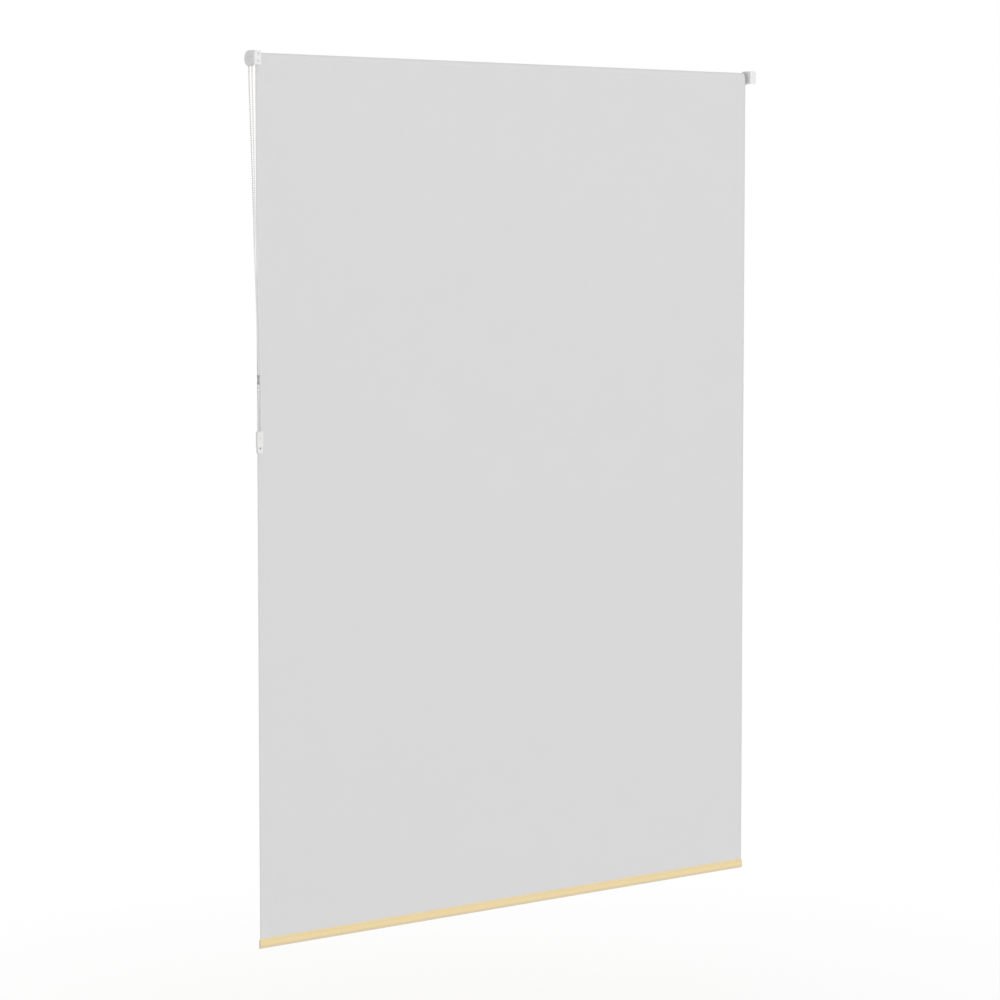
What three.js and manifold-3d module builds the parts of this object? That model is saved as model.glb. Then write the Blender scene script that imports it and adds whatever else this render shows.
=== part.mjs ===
// A blackout roller blind with a side chain, hanging fully lowered.
// Its cloth leaves the roll on the wall side.
// Millimetres, +Z up. X runs along the roller with the clutch end at +X, and the wall is the plane y = 0
// on the +Y side. The origin is the middle of the clutch bracket's wall face.

import * as THREE from "three";
import { mergeVertices } from "three/addons/utils/BufferGeometryUtils.js";
import Module from "manifold-3d";

const wasm = await Module();
wasm.setup();

// Cloth
const clothWidth = 1658;
const blindDrop = 2300; // top of the roll to the lower edge of the hem
const clothThickness = 0.5;
const clothToWall = 12; // middle of the hanging cloth to the wall

// Gaps
const runningGap = 0.3; // between pieces that turn past each other
const seatGap = 0.25; // between pieces that stand still against each other
const layerGap = 0.1; // between the layers wound on the tube
const overrun = 5; // how far a cut runs past the faces it opens

// Roller tube
const tubeRadius = 14;
const tubeWall = 1;
const tapeThickness = 0.25;
const tapeWidth = 12;
const tapeInset = 4; // from each end of the tube

// Brackets, bent from sheet
const sheet = 2;
const bendRadius = 3;
const cheekRadius = 20;
const flangeWidth = 20.5;
const flangeBelowAxis = 16.4;
const flangeCorner = 2.5;
const screwHoleRadius = 2.75;
const screwHoleInset = 8.8; // from the flange's upper and lower edges
const screwHoleFromEdge = 8.2; // from the flange's free edge
const latchWindowWidth = 3;
const latchWindowHeight = 4;
const latchWindowOut = 12; // from the roller's axis towards the wall
const latchWindowUp = 5;

// Bead chain
const beadRadius = 2.25;
const beadPitch = 6;
const wheelPockets = 8;
const tensionerPockets = 6;
const connectorLength = 24;
const connectorRadius = 3;
const connectorAboveTensioner = 132.3; // the connector's middle above the tensioner's top
const stopRadius = 3.2;
const stopLength = 6;
const stopBelowConnector = 12; // the free chain between the connector and the stop

// Clutch
const housingRadius = 19;
const housingWall = 0.8;
const housingRim = 1.2;
const housingEdge = 1.5; // rounding of the outer rim
const coverWall = 0.8;
const coverToCloth = 0.45;
const guardWall = 1;
const chainSlotWidth = 5.8;
const chainSlotDepth = 8;
const bossSize = 10;
const bossHeadroom = 0.25; // how far the boss stays below the cheek's outer face
const postRadius = 3.4;
const postLength = 44;
const wheelFlange = 0.8;
const wheelRim = 1;
const wheelBoreWall = 0.3;
const pocketDepth = 0.35;
const hubRadius = 6.4;
const springBore = 4.8;
const springStart = 4; // from the cloth's edge into the tube
const springSpacing = 15;
const wrapSprings = 2;
const wrapCurls = 5;
const wrapWire = 0.9;
const wrapPitch = 1.45;
const wrapSeat = 0.25;
const hubSlotWidth = 4;
const keyWidth = 3.4;
const keyDepth = 1.3;
const keyLength = 25;
const keyStart = 4;
const plugGap = 0.2; // between the plugs and the tube
const drivePlugLength = 46;
const plugGrooves = 6;
const plugGrooveWidth = 3;
const plugGrooveDepth = 2.2;
const washerRadius = 6.2;
const washerThickness = 1;
const coreScrewHead = 3;
const coreScrewHeadHeight = 1.6;
const coreScrewRadius = 1.4;
const coreScrewLength = 8;
const pilotGap = 0.3;

// Idle end
const idleClearance = 9.1; // cloth's edge to the idle bracket
const idleFlangeRadius = 14.6;
const idleFlange = 2;
const idlePlugLength = 38;
const plugLand = 5; // the idle plug's smooth part behind its flange
const noseRadius = 6;
const noseClearance = 0.5;
const pinRadius = 3;
const pinHeadRadius = 4.3;
const pinHead = 3;
const pinTailRadius = 2;
const pinTail = 6;
const pinProud = 1.2; // how far the pin stands past the bracket
const neckLength = 12; // from the tube's end to the spring chamber
const retainerDepth = 3;
const retainerRadius = 7;
const retainerFlange = 1;
const pinSpringWire = 0.7;
const pinSpringCurls = 8;
const pinSpringRadius = 3.4;

// Hem bar
const hemHeight = 25;
const hemHalfDepth = 2.9;
const hemTaper = 6;
const hemCorner = 2;
const barWall = 0.9;
const barGap = 0.2;
const barInset = 1.5; // from each side edge of the cloth
const barCorner = 1.6;
const capThickness = 1;
const capGap = 0.1;
const capProud = 0.3;
const capTongue = 12;
const capTongueGap = 0.3;
const hemJoinGap = 0.3;

// Chain tensioner
const tensionerDrop = 946.3; // its top edge, below the roller's axis
const tensionerHeight = 56;
const tensionerInset = 1.5; // its middle, inside the cloth's edge
const tensionerBackWall = 1.2;
const tensionerFrontWall = 1.1;
const tensionerSideWall = 0.8;
const tensionerCorner = 2.5;
const tensionerTabWidth = 15.5;
const tensionerShoulder = 40; // from the top to where it narrows
const tensionerBlockTop = 29; // from the top to the solid block
const tensionerScrewUp = 13; // screw hole above its lower end
const tensionerWheelDrop = 17.2; // wheel centre below its top
const tensionerScrewRadius = 2.75;
const tensionerAxleRadius = 1.9;
const tensionerWheelRim = 1.2;

// Fineness of the round shapes
const roundSides = 40;
const smallSides = 24;
const arcSteps = 6;
const cordSides = 8;
const ballSides = 8;
const ballRings = 4;
const wireSides = 5;
const stepsPerCurl = 10;
const runSteps = 32;
const finePoints = 1000;
const loopSteps = 12;

// Places worked out from the sizes
const sleeveInner = tubeRadius + tapeThickness + 2 * layerGap;
const rollRadius = sleeveInner + clothThickness;
const clothY = -clothToWall;
const axisY = clothY - clothThickness / 2 - layerGap - rollRadius;
const flangeHeight = cheekRadius + flangeBelowAxis;
const axisZ = flangeHeight / 2 - cheekRadius;
const cheekOuterX = flangeWidth / 2;
const cheekInnerX = cheekOuterX - sheet;
const housingOuterX = cheekInnerX - seatGap;
const wallInnerX = housingOuterX - housingWall;
const chainX = wallInnerX - runningGap - beadRadius;
const wheelFlangeX = chainX - beadRadius - runningGap;
const wheelInnerX = wheelFlangeX - wheelFlange;
const coverOuterX = wheelInnerX - runningGap;
const coverInnerX = coverOuterX - coverWall;
const clothEdgeX = coverInnerX - coverToCloth;
const idleEdgeX = clothEdgeX - clothWidth;
const idleFaceX = idleEdgeX - idleClearance;
const postEndX = wallInnerX - postLength;
const pitchRadius = (beadPitch * wheelPockets) / (2 * Math.PI);
const tensionerPitchRadius = (beadPitch * tensionerPockets) / (2 * Math.PI);
const grooveRadius = beadRadius + runningGap;
const hemBottomZ = axisZ + rollRadius - blindDrop;
const hemTopZ = hemBottomZ + hemHeight;
const plugRadius = tubeRadius - tubeWall - plugGap;
const tensionerX = clothEdgeX - tensionerInset;
const tensionerTopZ = axisZ - tensionerDrop;
const tensionerBottomZ = tensionerTopZ - tensionerHeight;
const tensionerWheelZ = tensionerTopZ - tensionerWheelDrop;
const tensionerHalfWidth = tensionerPitchRadius + beadRadius + seatGap + tensionerSideWall;
const tensionerChainY = -tensionerBackWall - runningGap - beadRadius;
const tensionerInsideY = tensionerChainY - beadRadius - runningGap;
const tensionerFrontY = tensionerInsideY - tensionerFrontWall;
const chainExitZ = axisZ - housingRadius - runningGap;
const runLowZ = tensionerTopZ + runningGap;

// The free chain's routes between the housing and the tensioner, [x, y, z], top to bottom.
// The wall-side run swings in front of the cloth's edge and the room-side run stays beside it.
const wallRunRoute = [
  [4.4, -18.4, -90],
  [4.35, -14.6, -202],
  [3.95, -10.6, -364],
  [3.65, -6.5, -457],
  [2.95, -4.9, -502],
  [0.95, -4.4, -557],
  [-0.25, -4.3, -621],
  [-2.25, -4.1, -702],
  [-4.5, -3.9, -800],
  [-6.6, -3.8, -882],
];
const roomRunRoute = [
  [4.65, -32.6, -90],
  [4.75, -26, -202],
  [4.85, -17.5, -364],
  [5.25, -11.4, -493],
  [5.25, -7.8, -557],
  [4.95, -4.4, -621],
  [3.15, -3.9, -702],
  [1.1, -3.9, -792],
  [0.9, -3.9, -826],
  [1.6, -3.85, -860],
  [3.0, -3.8, -905],
];

// Materials
const finish = (color, roughness, metalness = 0) =>
  new THREE.MeshStandardMaterial({ color, roughness, metalness });
const whiteMetal = finish("#e6e6e4", 0.4, 0.1);
const whitePlastic = finish("#e2e2e0", 0.5);
const greyPlastic = finish("#b9b9b8", 0.55);
const darkPlastic = finish("#7c7c7c", 0.6);
const clearPlastic = finish("#a3a3a2", 0.3);
const steel = finish("#b5b7b9", 0.35, 0.9);
const aluminium = finish("#c6c8ca", 0.4, 0.9);
const greyCloth = finish("#d9d9d9", 0.9);
const creamCloth = finish("#eedba9", 0.9);
const creamPlastic = finish("#d2c0a5", 0.5);
const tapeFinish = finish("#e9e4d2", 0.7);

// A closed mesh with shared corners, no empty triangles, and its faces pointing out.
function closedBody(geometry) {
  const plain = geometry.clone();
  plain.deleteAttribute("normal");
  plain.deleteAttribute("uv");
  const joinedUp = mergeVertices(plain);
  const place = joinedUp.getAttribute("position");
  const index = joinedUp.index.array;
  const corner = (i) => new THREE.Vector3().fromBufferAttribute(place, i);
  const faces = [];
  let volume = 0;
  for (let i = 0; i < index.length; i += 3) {
    const [a, b, c] = [index[i], index[i + 1], index[i + 2]];
    if (a === b || b === c || c === a) continue;
    faces.push(a, b, c);
    volume += corner(a).dot(corner(b).cross(corner(c)));
  }
  if (volume < 0) faces.reverse();
  joinedUp.setIndex(faces);
  return joinedUp;
}

function solidOf(geometry) {
  const body = closedBody(geometry);
  const vertProperties = new Float32Array(body.getAttribute("position").array);
  const triVerts = new Uint32Array(body.index.array);
  return new wasm.Manifold(new wasm.Mesh({ numProp: 3, vertProperties, triVerts }));
}

function geometryOf(solid) {
  const mesh = solid.getMesh();
  const geometry = new THREE.BufferGeometry();
  geometry.setAttribute("position", new THREE.BufferAttribute(new Float32Array(mesh.vertProperties), 3));
  geometry.setIndex(Array.from(mesh.triVerts));
  return geometry;
}

function join(...geometries) {
  const solids = geometries.map(solidOf);
  return geometryOf(solids.reduce((whole, piece) => whole.add(piece)));
}

function cut(geometry, ...cutters) {
  const solids = cutters.map(solidOf);
  return geometryOf(solids.reduce((whole, cutter) => whole.subtract(cutter), solidOf(geometry)));
}

function overlapOf(geometry, other) {
  return geometryOf(solidOf(geometry).intersect(solidOf(other)));
}

function block(x0, x1, y0, y1, z0, z1) {
  const box = new THREE.BoxGeometry(Math.abs(x1 - x0), Math.abs(y1 - y0), Math.abs(z1 - z0));
  return box.translate((x0 + x1) / 2, (y0 + y1) / 2, (z0 + z1) / 2);
}

// An outline of [along, radius] points turned about a line through a centre, along an axis direction.
function turned(outline, centre, along, sides = roundSides) {
  const points = outline.map(([distance, radius]) => new THREE.Vector2(radius, distance));
  const onAxis = outline[0][1] === 0 && outline[outline.length - 1][1] === 0;
  if (!onAxis) points.push(points[0].clone());
  const turn = new THREE.Quaternion().setFromUnitVectors(new THREE.Vector3(0, 1, 0), along);
  const lathe = new THREE.LatheGeometry(points, sides);
  return lathe.applyQuaternion(turn).translate(...centre);
}

const alongX = new THREE.Vector3(1, 0, 0);
const alongY = new THREE.Vector3(0, 1, 0);
const alongZ = new THREE.Vector3(0, 0, 1);
const rollerLine = [0, axisY, axisZ];

// A round bar, or a pipe where it has an inner radius, between two places on the roller's axis.
function onRoller(x0, x1, outer, inner = 0, sides = roundSides) {
  const outline = [
    [x0, inner],
    [x0, outer],
    [x1, outer],
    [x1, inner],
  ];
  return turned(outline, rollerLine, alongX, sides);
}

// A flat outline in the YZ plane, given thickness along X.
function plateAcrossX(shape, x0, x1) {
  const settings = { depth: x1 - x0, bevelEnabled: false, curveSegments: arcSteps };
  const plate = new THREE.ExtrudeGeometry(shape, settings);
  const basis = new THREE.Matrix4().makeBasis(alongY, alongZ, alongX);
  return plate.applyMatrix4(basis).translate(x0, 0, 0);
}

// A flat outline in the XZ plane, given thickness along Y.
function plateAcrossY(shape, y0, y1) {
  const settings = { depth: y1 - y0, bevelEnabled: false, curveSegments: arcSteps };
  const plate = new THREE.ExtrudeGeometry(shape, settings);
  const basis = new THREE.Matrix4().makeBasis(alongX, alongZ, alongY);
  return plate.applyMatrix4(basis).translate(0, y0, 0);
}

// A rectangle with round corners; the rounding can differ for the two ends of the second direction.
function roundedRectangle(a0, a1, b0, b1, lowRadius, highRadius = lowRadius) {
  const shape = new THREE.Shape();
  shape.moveTo(a0 + lowRadius, b0);
  shape.lineTo(a1 - lowRadius, b0);
  shape.absarc(a1 - lowRadius, b0 + lowRadius, lowRadius, -Math.PI / 2, 0, false);
  shape.lineTo(a1, b1 - highRadius);
  shape.absarc(a1 - highRadius, b1 - highRadius, highRadius, 0, Math.PI / 2, false);
  shape.lineTo(a0 + highRadius, b1);
  shape.absarc(a0 + highRadius, b1 - highRadius, highRadius, Math.PI / 2, Math.PI, false);
  shape.lineTo(a0, b0 + lowRadius);
  shape.absarc(a0 + lowRadius, b0 + lowRadius, lowRadius, Math.PI, (3 * Math.PI) / 2, false);
  return shape;
}

function circle(radius) {
  return new THREE.Shape().absarc(0, 0, radius, 0, 2 * Math.PI, false);
}

// A solid cord of a given radius along a curve.
function tubeAlong(curve, radius, steps, sides) {
  const section = new THREE.Shape();
  for (let i = 0; i < sides; i += 1) {
    const angle = (2 * Math.PI * i) / sides;
    const [a, b] = [radius * Math.cos(angle), radius * Math.sin(angle)];
    if (i === 0) section.moveTo(a, b);
    else section.lineTo(a, b);
  }
  section.closePath();
  return new THREE.ExtrudeGeometry(section, { steps, bevelEnabled: false, extrudePath: curve });
}

// A helical spring about the roller's axis, from one place along X to another, as one unbroken wire.
function helix(name, x0, x1, radius, curls, wire) {
  const steps = curls * stepsPerCurl;
  const points = [];
  for (let i = 0; i <= steps; i += 1) {
    const angle = (2 * Math.PI * i) / stepsPerCurl;
    const x = x0 + ((x1 - x0) * i) / steps;
    points.push(new THREE.Vector3(x, axisY + radius * Math.cos(angle), axisZ + radius * Math.sin(angle)));
  }
  let least = Infinity;
  for (let i = 0; i <= steps - stepsPerCurl; i += 1) {
    least = Math.min(least, points[i].distanceTo(points[i + stepsPerCurl]) - wire);
  }
  console.log(`${name}: least gap between curls ${least.toFixed(2)} mm`);
  const positions = [];
  const faces = [];
  points.forEach((point, i) => {
    const ahead = points[Math.min(i + 1, steps)].clone().sub(points[Math.max(i - 1, 0)]).normalize();
    const outwards = new THREE.Vector3(0, point.y - axisY, point.z - axisZ).normalize();
    const sideways = ahead.clone().cross(outwards).normalize();
    for (let k = 0; k < wireSides; k += 1) {
      const angle = (2 * Math.PI * k) / wireSides;
      const rim = point.clone();
      rim.addScaledVector(outwards, (wire / 2) * Math.cos(angle));
      rim.addScaledVector(sideways, (wire / 2) * Math.sin(angle));
      positions.push(rim.x, rim.y, rim.z);
    }
  });
  for (let i = 0; i < steps; i += 1) {
    for (let k = 0; k < wireSides; k += 1) {
      const [a, b] = [i * wireSides + k, i * wireSides + ((k + 1) % wireSides)];
      faces.push(a, b, a + wireSides, b, b + wireSides, a + wireSides);
    }
  }
  const last = steps * wireSides;
  for (let k = 1; k < wireSides - 1; k += 1) {
    faces.push(0, k + 1, k, last, last + k, last + k + 1);
  }
  const geometry = new THREE.BufferGeometry();
  geometry.setAttribute("position", new THREE.Float32BufferAttribute(positions, 3));
  geometry.setIndex(faces);
  return geometry;
}

const blind = new THREE.Group();

function addPiece(name, geometry, material) {
  const mesh = new THREE.Mesh(closedBody(geometry), material);
  mesh.name = name;
  blind.add(mesh);
}

// Both brackets are the same bent sheet: a round cheek square to the roller, and a flange on the wall.
function bracketSheet(cheekX) {
  const inner = bendRadius - sheet;
  const strip = new THREE.Shape();
  strip.moveTo(cheekX, axisY);
  strip.lineTo(cheekX, -bendRadius);
  strip.absarc(cheekX - bendRadius, -bendRadius, bendRadius, 0, Math.PI / 2, false);
  strip.lineTo(cheekX - flangeWidth, 0);
  strip.lineTo(cheekX - flangeWidth, -sheet);
  strip.lineTo(cheekX - sheet - inner, -sheet);
  strip.absarc(cheekX - sheet - inner, -sheet - inner, inner, Math.PI / 2, 0, true);
  strip.lineTo(cheekX - sheet, axisY);
  strip.closePath();
  const bent = new THREE.ExtrudeGeometry(strip, {
    depth: flangeHeight,
    bevelEnabled: false,
    curveSegments: arcSteps,
  }).translate(0, 0, -flangeHeight / 2);
  const freeEdge = cheekX - flangeWidth;
  const halfHeight = flangeHeight / 2;
  const face = roundedRectangle(freeEdge, cheekX + overrun, -halfHeight, halfHeight, flangeCorner);
  const trimmed = overlapOf(bent, plateAcrossY(face, axisY - overrun, overrun));
  const cheek = onRoller(cheekX - sheet, cheekX, cheekRadius);
  const holeX = freeEdge + screwHoleFromEdge;
  const holes = [-1, 1].map((side) => {
    const z = side * (halfHeight - screwHoleInset);
    return turned(
      [
        [-sheet - overrun, 0],
        [-sheet - overrun, screwHoleRadius],
        [overrun, screwHoleRadius],
        [overrun, 0],
      ],
      [holeX, 0, z],
      alongY,
      smallSides,
    );
  });
  return cut(join(trimmed, cheek), ...holes);
}

function clutchBracket() {
  const hole = bossSize / 2 + seatGap;
  const [x0, x1] = [cheekInnerX - overrun, cheekOuterX + overrun];
  const square = block(x0, x1, axisY - hole, axisY + hole, axisZ - hole, axisZ + hole);
  const windowY = axisY + latchWindowOut;
  const windowZ = axisZ + latchWindowUp;
  const latchWindow = block(
    x0,
    x1,
    windowY - latchWindowWidth / 2,
    windowY + latchWindowWidth / 2,
    windowZ - latchWindowHeight / 2,
    windowZ + latchWindowHeight / 2,
  );
  return cut(bracketSheet(cheekOuterX), square, latchWindow);
}

function idleBracket() {
  const hole = onRoller(idleFaceX - sheet - overrun, idleFaceX + overrun, pinRadius + seatGap, 0, smallSides);
  return cut(bracketSheet(idleFaceX), hole);
}

// The fixed shell round the chain wheel, open to the cover and slotted below for the two chain runs.
function clutchHousing() {
  const outline = [[housingOuterX, 0]];
  for (let i = 0; i <= arcSteps; i += 1) {
    const angle = (Math.PI / 2) * (i / arcSteps);
    outline.push([
      housingOuterX - housingEdge * (1 - Math.cos(angle)),
      housingRadius - housingEdge * (1 - Math.sin(angle)),
    ]);
  }
  outline.push([coverOuterX, housingRadius]);
  outline.push([coverOuterX, housingRadius - housingRim]);
  outline.push([wallInnerX, housingRadius - housingRim]);
  outline.push([wallInnerX, 0]);
  const shell = turned(outline, rollerLine, alongX);
  const guardInner = pitchRadius + beadRadius + runningGap;
  const ring = onRoller(coverOuterX, wallInnerX + housingWall / 2, guardInner + guardWall, guardInner);
  const upper = block(
    coverOuterX - overrun,
    housingOuterX + overrun,
    axisY - housingRadius,
    axisY + housingRadius,
    axisZ,
    axisZ + housingRadius,
  );
  const guard = overlapOf(ring, upper);
  const hole = bossSize / 2 + seatGap;
  const square = block(
    wallInnerX - overrun,
    housingOuterX + overrun,
    axisY - hole,
    axisY + hole,
    axisZ - hole,
    axisZ + hole,
  );
  const slots = [-1, 1].map((side) => {
    const y = axisY + side * pitchRadius;
    return block(
      coverOuterX - overrun,
      wallInnerX,
      y - chainSlotWidth / 2,
      y + chainSlotWidth / 2,
      axisZ - housingRadius - overrun,
      axisZ - housingRadius + chainSlotDepth,
    );
  });
  return cut(join(shell, guard), square, ...slots);
}

function clutchCover() {
  return onRoller(coverInnerX, coverOuterX, housingRadius, hubRadius + runningGap);
}

// The fixed core: a square boss in the bracket's hole and a round post that carries the wheel and springs.
function clutchCore() {
  const boss = block(
    wallInnerX,
    cheekOuterX - bossHeadroom,
    axisY - bossSize / 2,
    axisY + bossSize / 2,
    axisZ - bossSize / 2,
    axisZ + bossSize / 2,
  );
  const post = onRoller(postEndX, wallInnerX + housingWall, postRadius, 0, smallSides);
  const pilotEnd = postEndX + coreScrewLength + pilotGap;
  const pilot = onRoller(postEndX - overrun, pilotEnd, coreScrewRadius + pilotGap, 0, smallSides);
  return cut(join(boss, post), pilot);
}

function chainWheel() {
  const outerFace = chainX + beadRadius;
  const bore = postRadius + wheelBoreWall;
  const hubEnd = postEndX + runningGap;
  const outline = [[outerFace, bore]];
  const start = Math.acos(beadRadius / grooveRadius);
  for (let i = 0; i <= arcSteps; i += 1) {
    const angle = start + ((Math.PI - start) * i) / arcSteps;
    outline.push([chainX + grooveRadius * Math.cos(angle), pitchRadius - grooveRadius * Math.sin(angle)]);
  }
  outline.push([wheelFlangeX, pitchRadius + wheelRim]);
  outline.push([wheelInnerX, pitchRadius + wheelRim]);
  outline.push([wheelInnerX, hubRadius]);
  outline.push([hubEnd, hubRadius]);
  outline.push([hubEnd, springBore]);
  outline.push([coverInnerX, springBore]);
  outline.push([coverInnerX, bore]);
  const wheel = turned(outline, rollerLine, alongX, smallSides);
  const pockets = Array.from({ length: wheelPockets }, (_, i) => {
    const angle = (2 * Math.PI * (i + 0.5)) / wheelPockets;
    const ball = new THREE.SphereGeometry(grooveRadius + pocketDepth, ballSides, ballRings);
    const [y, z] = [pitchRadius * Math.cos(angle), pitchRadius * Math.sin(angle)];
    return ball.translate(chainX, axisY + y, axisZ + z);
  });
  const slot = block(
    clothEdgeX - keyStart,
    clothEdgeX - keyStart - keyLength,
    axisY - hubSlotWidth / 2,
    axisY + hubSlotWidth / 2,
    axisZ,
    axisZ + housingRadius,
  );
  return cut(wheel, ...pockets, slot);
}

function wrapSpring(number) {
  const x0 = clothEdgeX - springStart - number * springSpacing;
  const radius = postRadius + wrapSeat + wrapWire / 2;
  return helix(`wrap_spring_${number + 1}`, x0, x0 - wrapCurls * wrapPitch, radius, wrapCurls, wrapWire);
}

// The grooved plug that the wheel's hub turns, and that turns the tube.
function drivePlug() {
  const [x0, x1] = [clothEdgeX - runningGap, clothEdgeX - drivePlugLength];
  const bore = hubRadius + runningGap;
  const body = onRoller(x1, x0, plugRadius, bore, smallSides);
  const keyTop = axisZ + bore + keyDepth;
  const keyEdge = (hubSlotWidth - keyWidth) / 2;
  const key = block(
    clothEdgeX - keyStart - keyEdge,
    clothEdgeX - keyStart - keyLength + keyEdge,
    axisY - keyWidth / 2,
    axisY + keyWidth / 2,
    keyTop - 2 * keyDepth - runningGap,
    keyTop,
  );
  return cut(join(body, key), ...plugGrooveCutters(x1 - overrun, x0 + overrun));
}

function plugGrooveCutters(x0, x1) {
  return Array.from({ length: plugGrooves }, (_, i) => {
    const groove = block(
      x0,
      x1,
      -plugGrooveWidth / 2,
      plugGrooveWidth / 2,
      plugRadius - plugGrooveDepth,
      plugRadius + overrun,
    );
    return groove.rotateX((2 * Math.PI * (i + 0.5)) / plugGrooves).translate(0, axisY, axisZ);
  });
}

function coreWasher() {
  const hole = coreScrewRadius + pilotGap;
  return onRoller(postEndX - washerThickness, postEndX, washerRadius, hole, smallSides);
}

function coreScrew() {
  const under = postEndX - washerThickness;
  const outline = [
    [under - coreScrewHeadHeight, 0],
    [under - coreScrewHeadHeight, coreScrewHead - coreScrewHeadHeight / 2],
    [under - coreScrewHeadHeight / 2, coreScrewHead],
    [under, coreScrewHead],
    [under, coreScrewRadius],
    [postEndX + coreScrewLength, coreScrewRadius],
    [postEndX + coreScrewLength, 0],
  ];
  return turned(outline, rollerLine, alongX, smallSides);
}

function rollerTube() {
  return onRoller(idleEdgeX, clothEdgeX, tubeRadius, tubeRadius - tubeWall);
}

// The strip that holds the cloth's top edge on the tube, on the side away from the wall.
function adhesiveTape() {
  const inner = tubeRadius + layerGap;
  const outer = inner + tapeThickness;
  const half = tapeWidth / 2 / outer;
  const strip = new THREE.Shape();
  strip.absarc(0, 0, outer, Math.PI - half, Math.PI + half, false);
  strip.absarc(0, 0, inner, Math.PI + half, Math.PI - half, true);
  strip.closePath();
  return plateAcrossX(strip, idleEdgeX + tapeInset, clothEdgeX - tapeInset).translate(0, axisY, axisZ);
}

function fabricRoll() {
  return onRoller(idleEdgeX, clothEdgeX, rollRadius, sleeveInner);
}

function fabricPanel() {
  const half = clothThickness / 2;
  return block(idleEdgeX, clothEdgeX, clothY - half, clothY + half, hemTopZ + hemJoinGap, axisZ);
}

// The hem's outline, narrow where it meets the hanging cloth and rounded below.
function hemOutline() {
  const half = clothThickness / 2;
  const shoulder = hemTopZ - hemTaper;
  const outline = new THREE.Shape();
  outline.moveTo(clothY - half, hemTopZ);
  outline.quadraticCurveTo(clothY - hemHalfDepth, hemTopZ - hemTaper / 2, clothY - hemHalfDepth, shoulder);
  outline.lineTo(clothY - hemHalfDepth, hemBottomZ + hemCorner);
  outline.absarc(clothY - hemHalfDepth + hemCorner, hemBottomZ + hemCorner, hemCorner, Math.PI, -Math.PI / 2);
  outline.lineTo(clothY + hemHalfDepth - hemCorner, hemBottomZ);
  outline.absarc(clothY + hemHalfDepth - hemCorner, hemBottomZ + hemCorner, hemCorner, -Math.PI / 2, 0);
  outline.lineTo(clothY + hemHalfDepth, shoulder);
  outline.quadraticCurveTo(clothY + hemHalfDepth, hemTopZ - hemTaper / 2, clothY + half, hemTopZ);
  outline.closePath();
  return outline;
}

const barHalfDepth = hemHalfDepth - clothThickness - barGap;
const barBottomZ = hemBottomZ + clothThickness + barGap;
const barTopZ = hemTopZ - hemTaper - barGap;

function hemPocket() {
  const [y0, y1] = [clothY - barHalfDepth - barGap, clothY + barHalfDepth + barGap];
  const pocket = roundedRectangle(y0, y1, barBottomZ - barGap, barTopZ + barGap, barCorner);
  const outline = hemOutline();
  outline.holes.push(pocket);
  return plateAcrossX(outline, idleEdgeX, clothEdgeX);
}

function hemBar() {
  const outer = roundedRectangle(
    clothY - barHalfDepth,
    clothY + barHalfDepth,
    barBottomZ,
    barTopZ,
    barCorner,
  );
  const inside = roundedRectangle(
    clothY - barHalfDepth + barWall,
    clothY + barHalfDepth - barWall,
    barBottomZ + barWall,
    barTopZ - barWall,
    barCorner - barWall,
  );
  outer.holes.push(inside);
  return plateAcrossX(outer, idleEdgeX + barInset, clothEdgeX - barInset);
}

// An end cap: a plate over the hem's open end and a tongue in the hollow bar. Side is 1 at the clutch end.
function hemCap(side) {
  const edge = side > 0 ? clothEdgeX : idleEdgeX;
  const [near, far] = [edge + side * capGap, edge + side * (capGap + capThickness)];
  const depth = hemHalfDepth + capProud;
  const face = roundedRectangle(
    clothY - depth,
    clothY + depth,
    hemBottomZ - capProud,
    hemTopZ - hemTaper / 2,
    hemCorner,
  );
  const plate = plateAcrossX(face, Math.min(near, far), Math.max(near, far));
  const half = barHalfDepth - barWall - capTongueGap;
  const tongue = block(
    near + (side * capThickness) / 2,
    edge - side * (barInset + capTongue),
    clothY - half,
    clothY + half,
    barBottomZ + barWall + capTongueGap,
    barTopZ - barWall - capTongueGap,
  );
  return join(plate, tongue);
}

// The idle end's plug: a barrel in the tube, a flange over its end and a nose towards the bracket.
function idlePlug() {
  const flangeX = idleEdgeX - seatGap;
  const noseX = idleFaceX + noseClearance;
  const chamber = pinHeadRadius + runningGap;
  const neck = pinRadius + seatGap;
  const outline = [
    [noseX, neck],
    [noseX, noseRadius],
    [flangeX - idleFlange, noseRadius],
    [flangeX - idleFlange, idleFlangeRadius],
    [flangeX, idleFlangeRadius],
    [flangeX, plugRadius],
    [idleEdgeX + idlePlugLength, plugRadius],
    [idleEdgeX + idlePlugLength, chamber],
    [idleEdgeX + neckLength, chamber],
    [idleEdgeX + neckLength, neck],
  ];
  const grooves = plugGrooveCutters(idleEdgeX + plugLand, idleEdgeX + idlePlugLength + overrun);
  return cut(turned(outline, rollerLine, alongX, smallSides), ...grooves);
}

const pinHeadX = idleEdgeX + neckLength + runningGap;

function idlePin() {
  const tip = idleFaceX - sheet - pinProud;
  const outline = [
    [tip, 0],
    [tip, pinRadius - pinProud / 2],
    [tip + pinProud / 2, pinRadius],
    [pinHeadX, pinRadius],
    [pinHeadX, pinHeadRadius],
    [pinHeadX + pinHead, pinHeadRadius],
    [pinHeadX + pinHead, pinTailRadius],
    [pinHeadX + pinHead + pinTail, pinTailRadius],
    [pinHeadX + pinHead + pinTail, 0],
  ];
  return turned(outline, rollerLine, alongX, smallSides);
}

const retainerX = idleEdgeX + idlePlugLength - retainerDepth;

function pinSpring() {
  const from = pinHeadX + pinHead + runningGap + pinSpringWire / 2;
  const to = retainerX - runningGap - pinSpringWire / 2;
  return helix("pin_spring", from, to, pinSpringRadius, pinSpringCurls, pinSpringWire);
}

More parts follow.
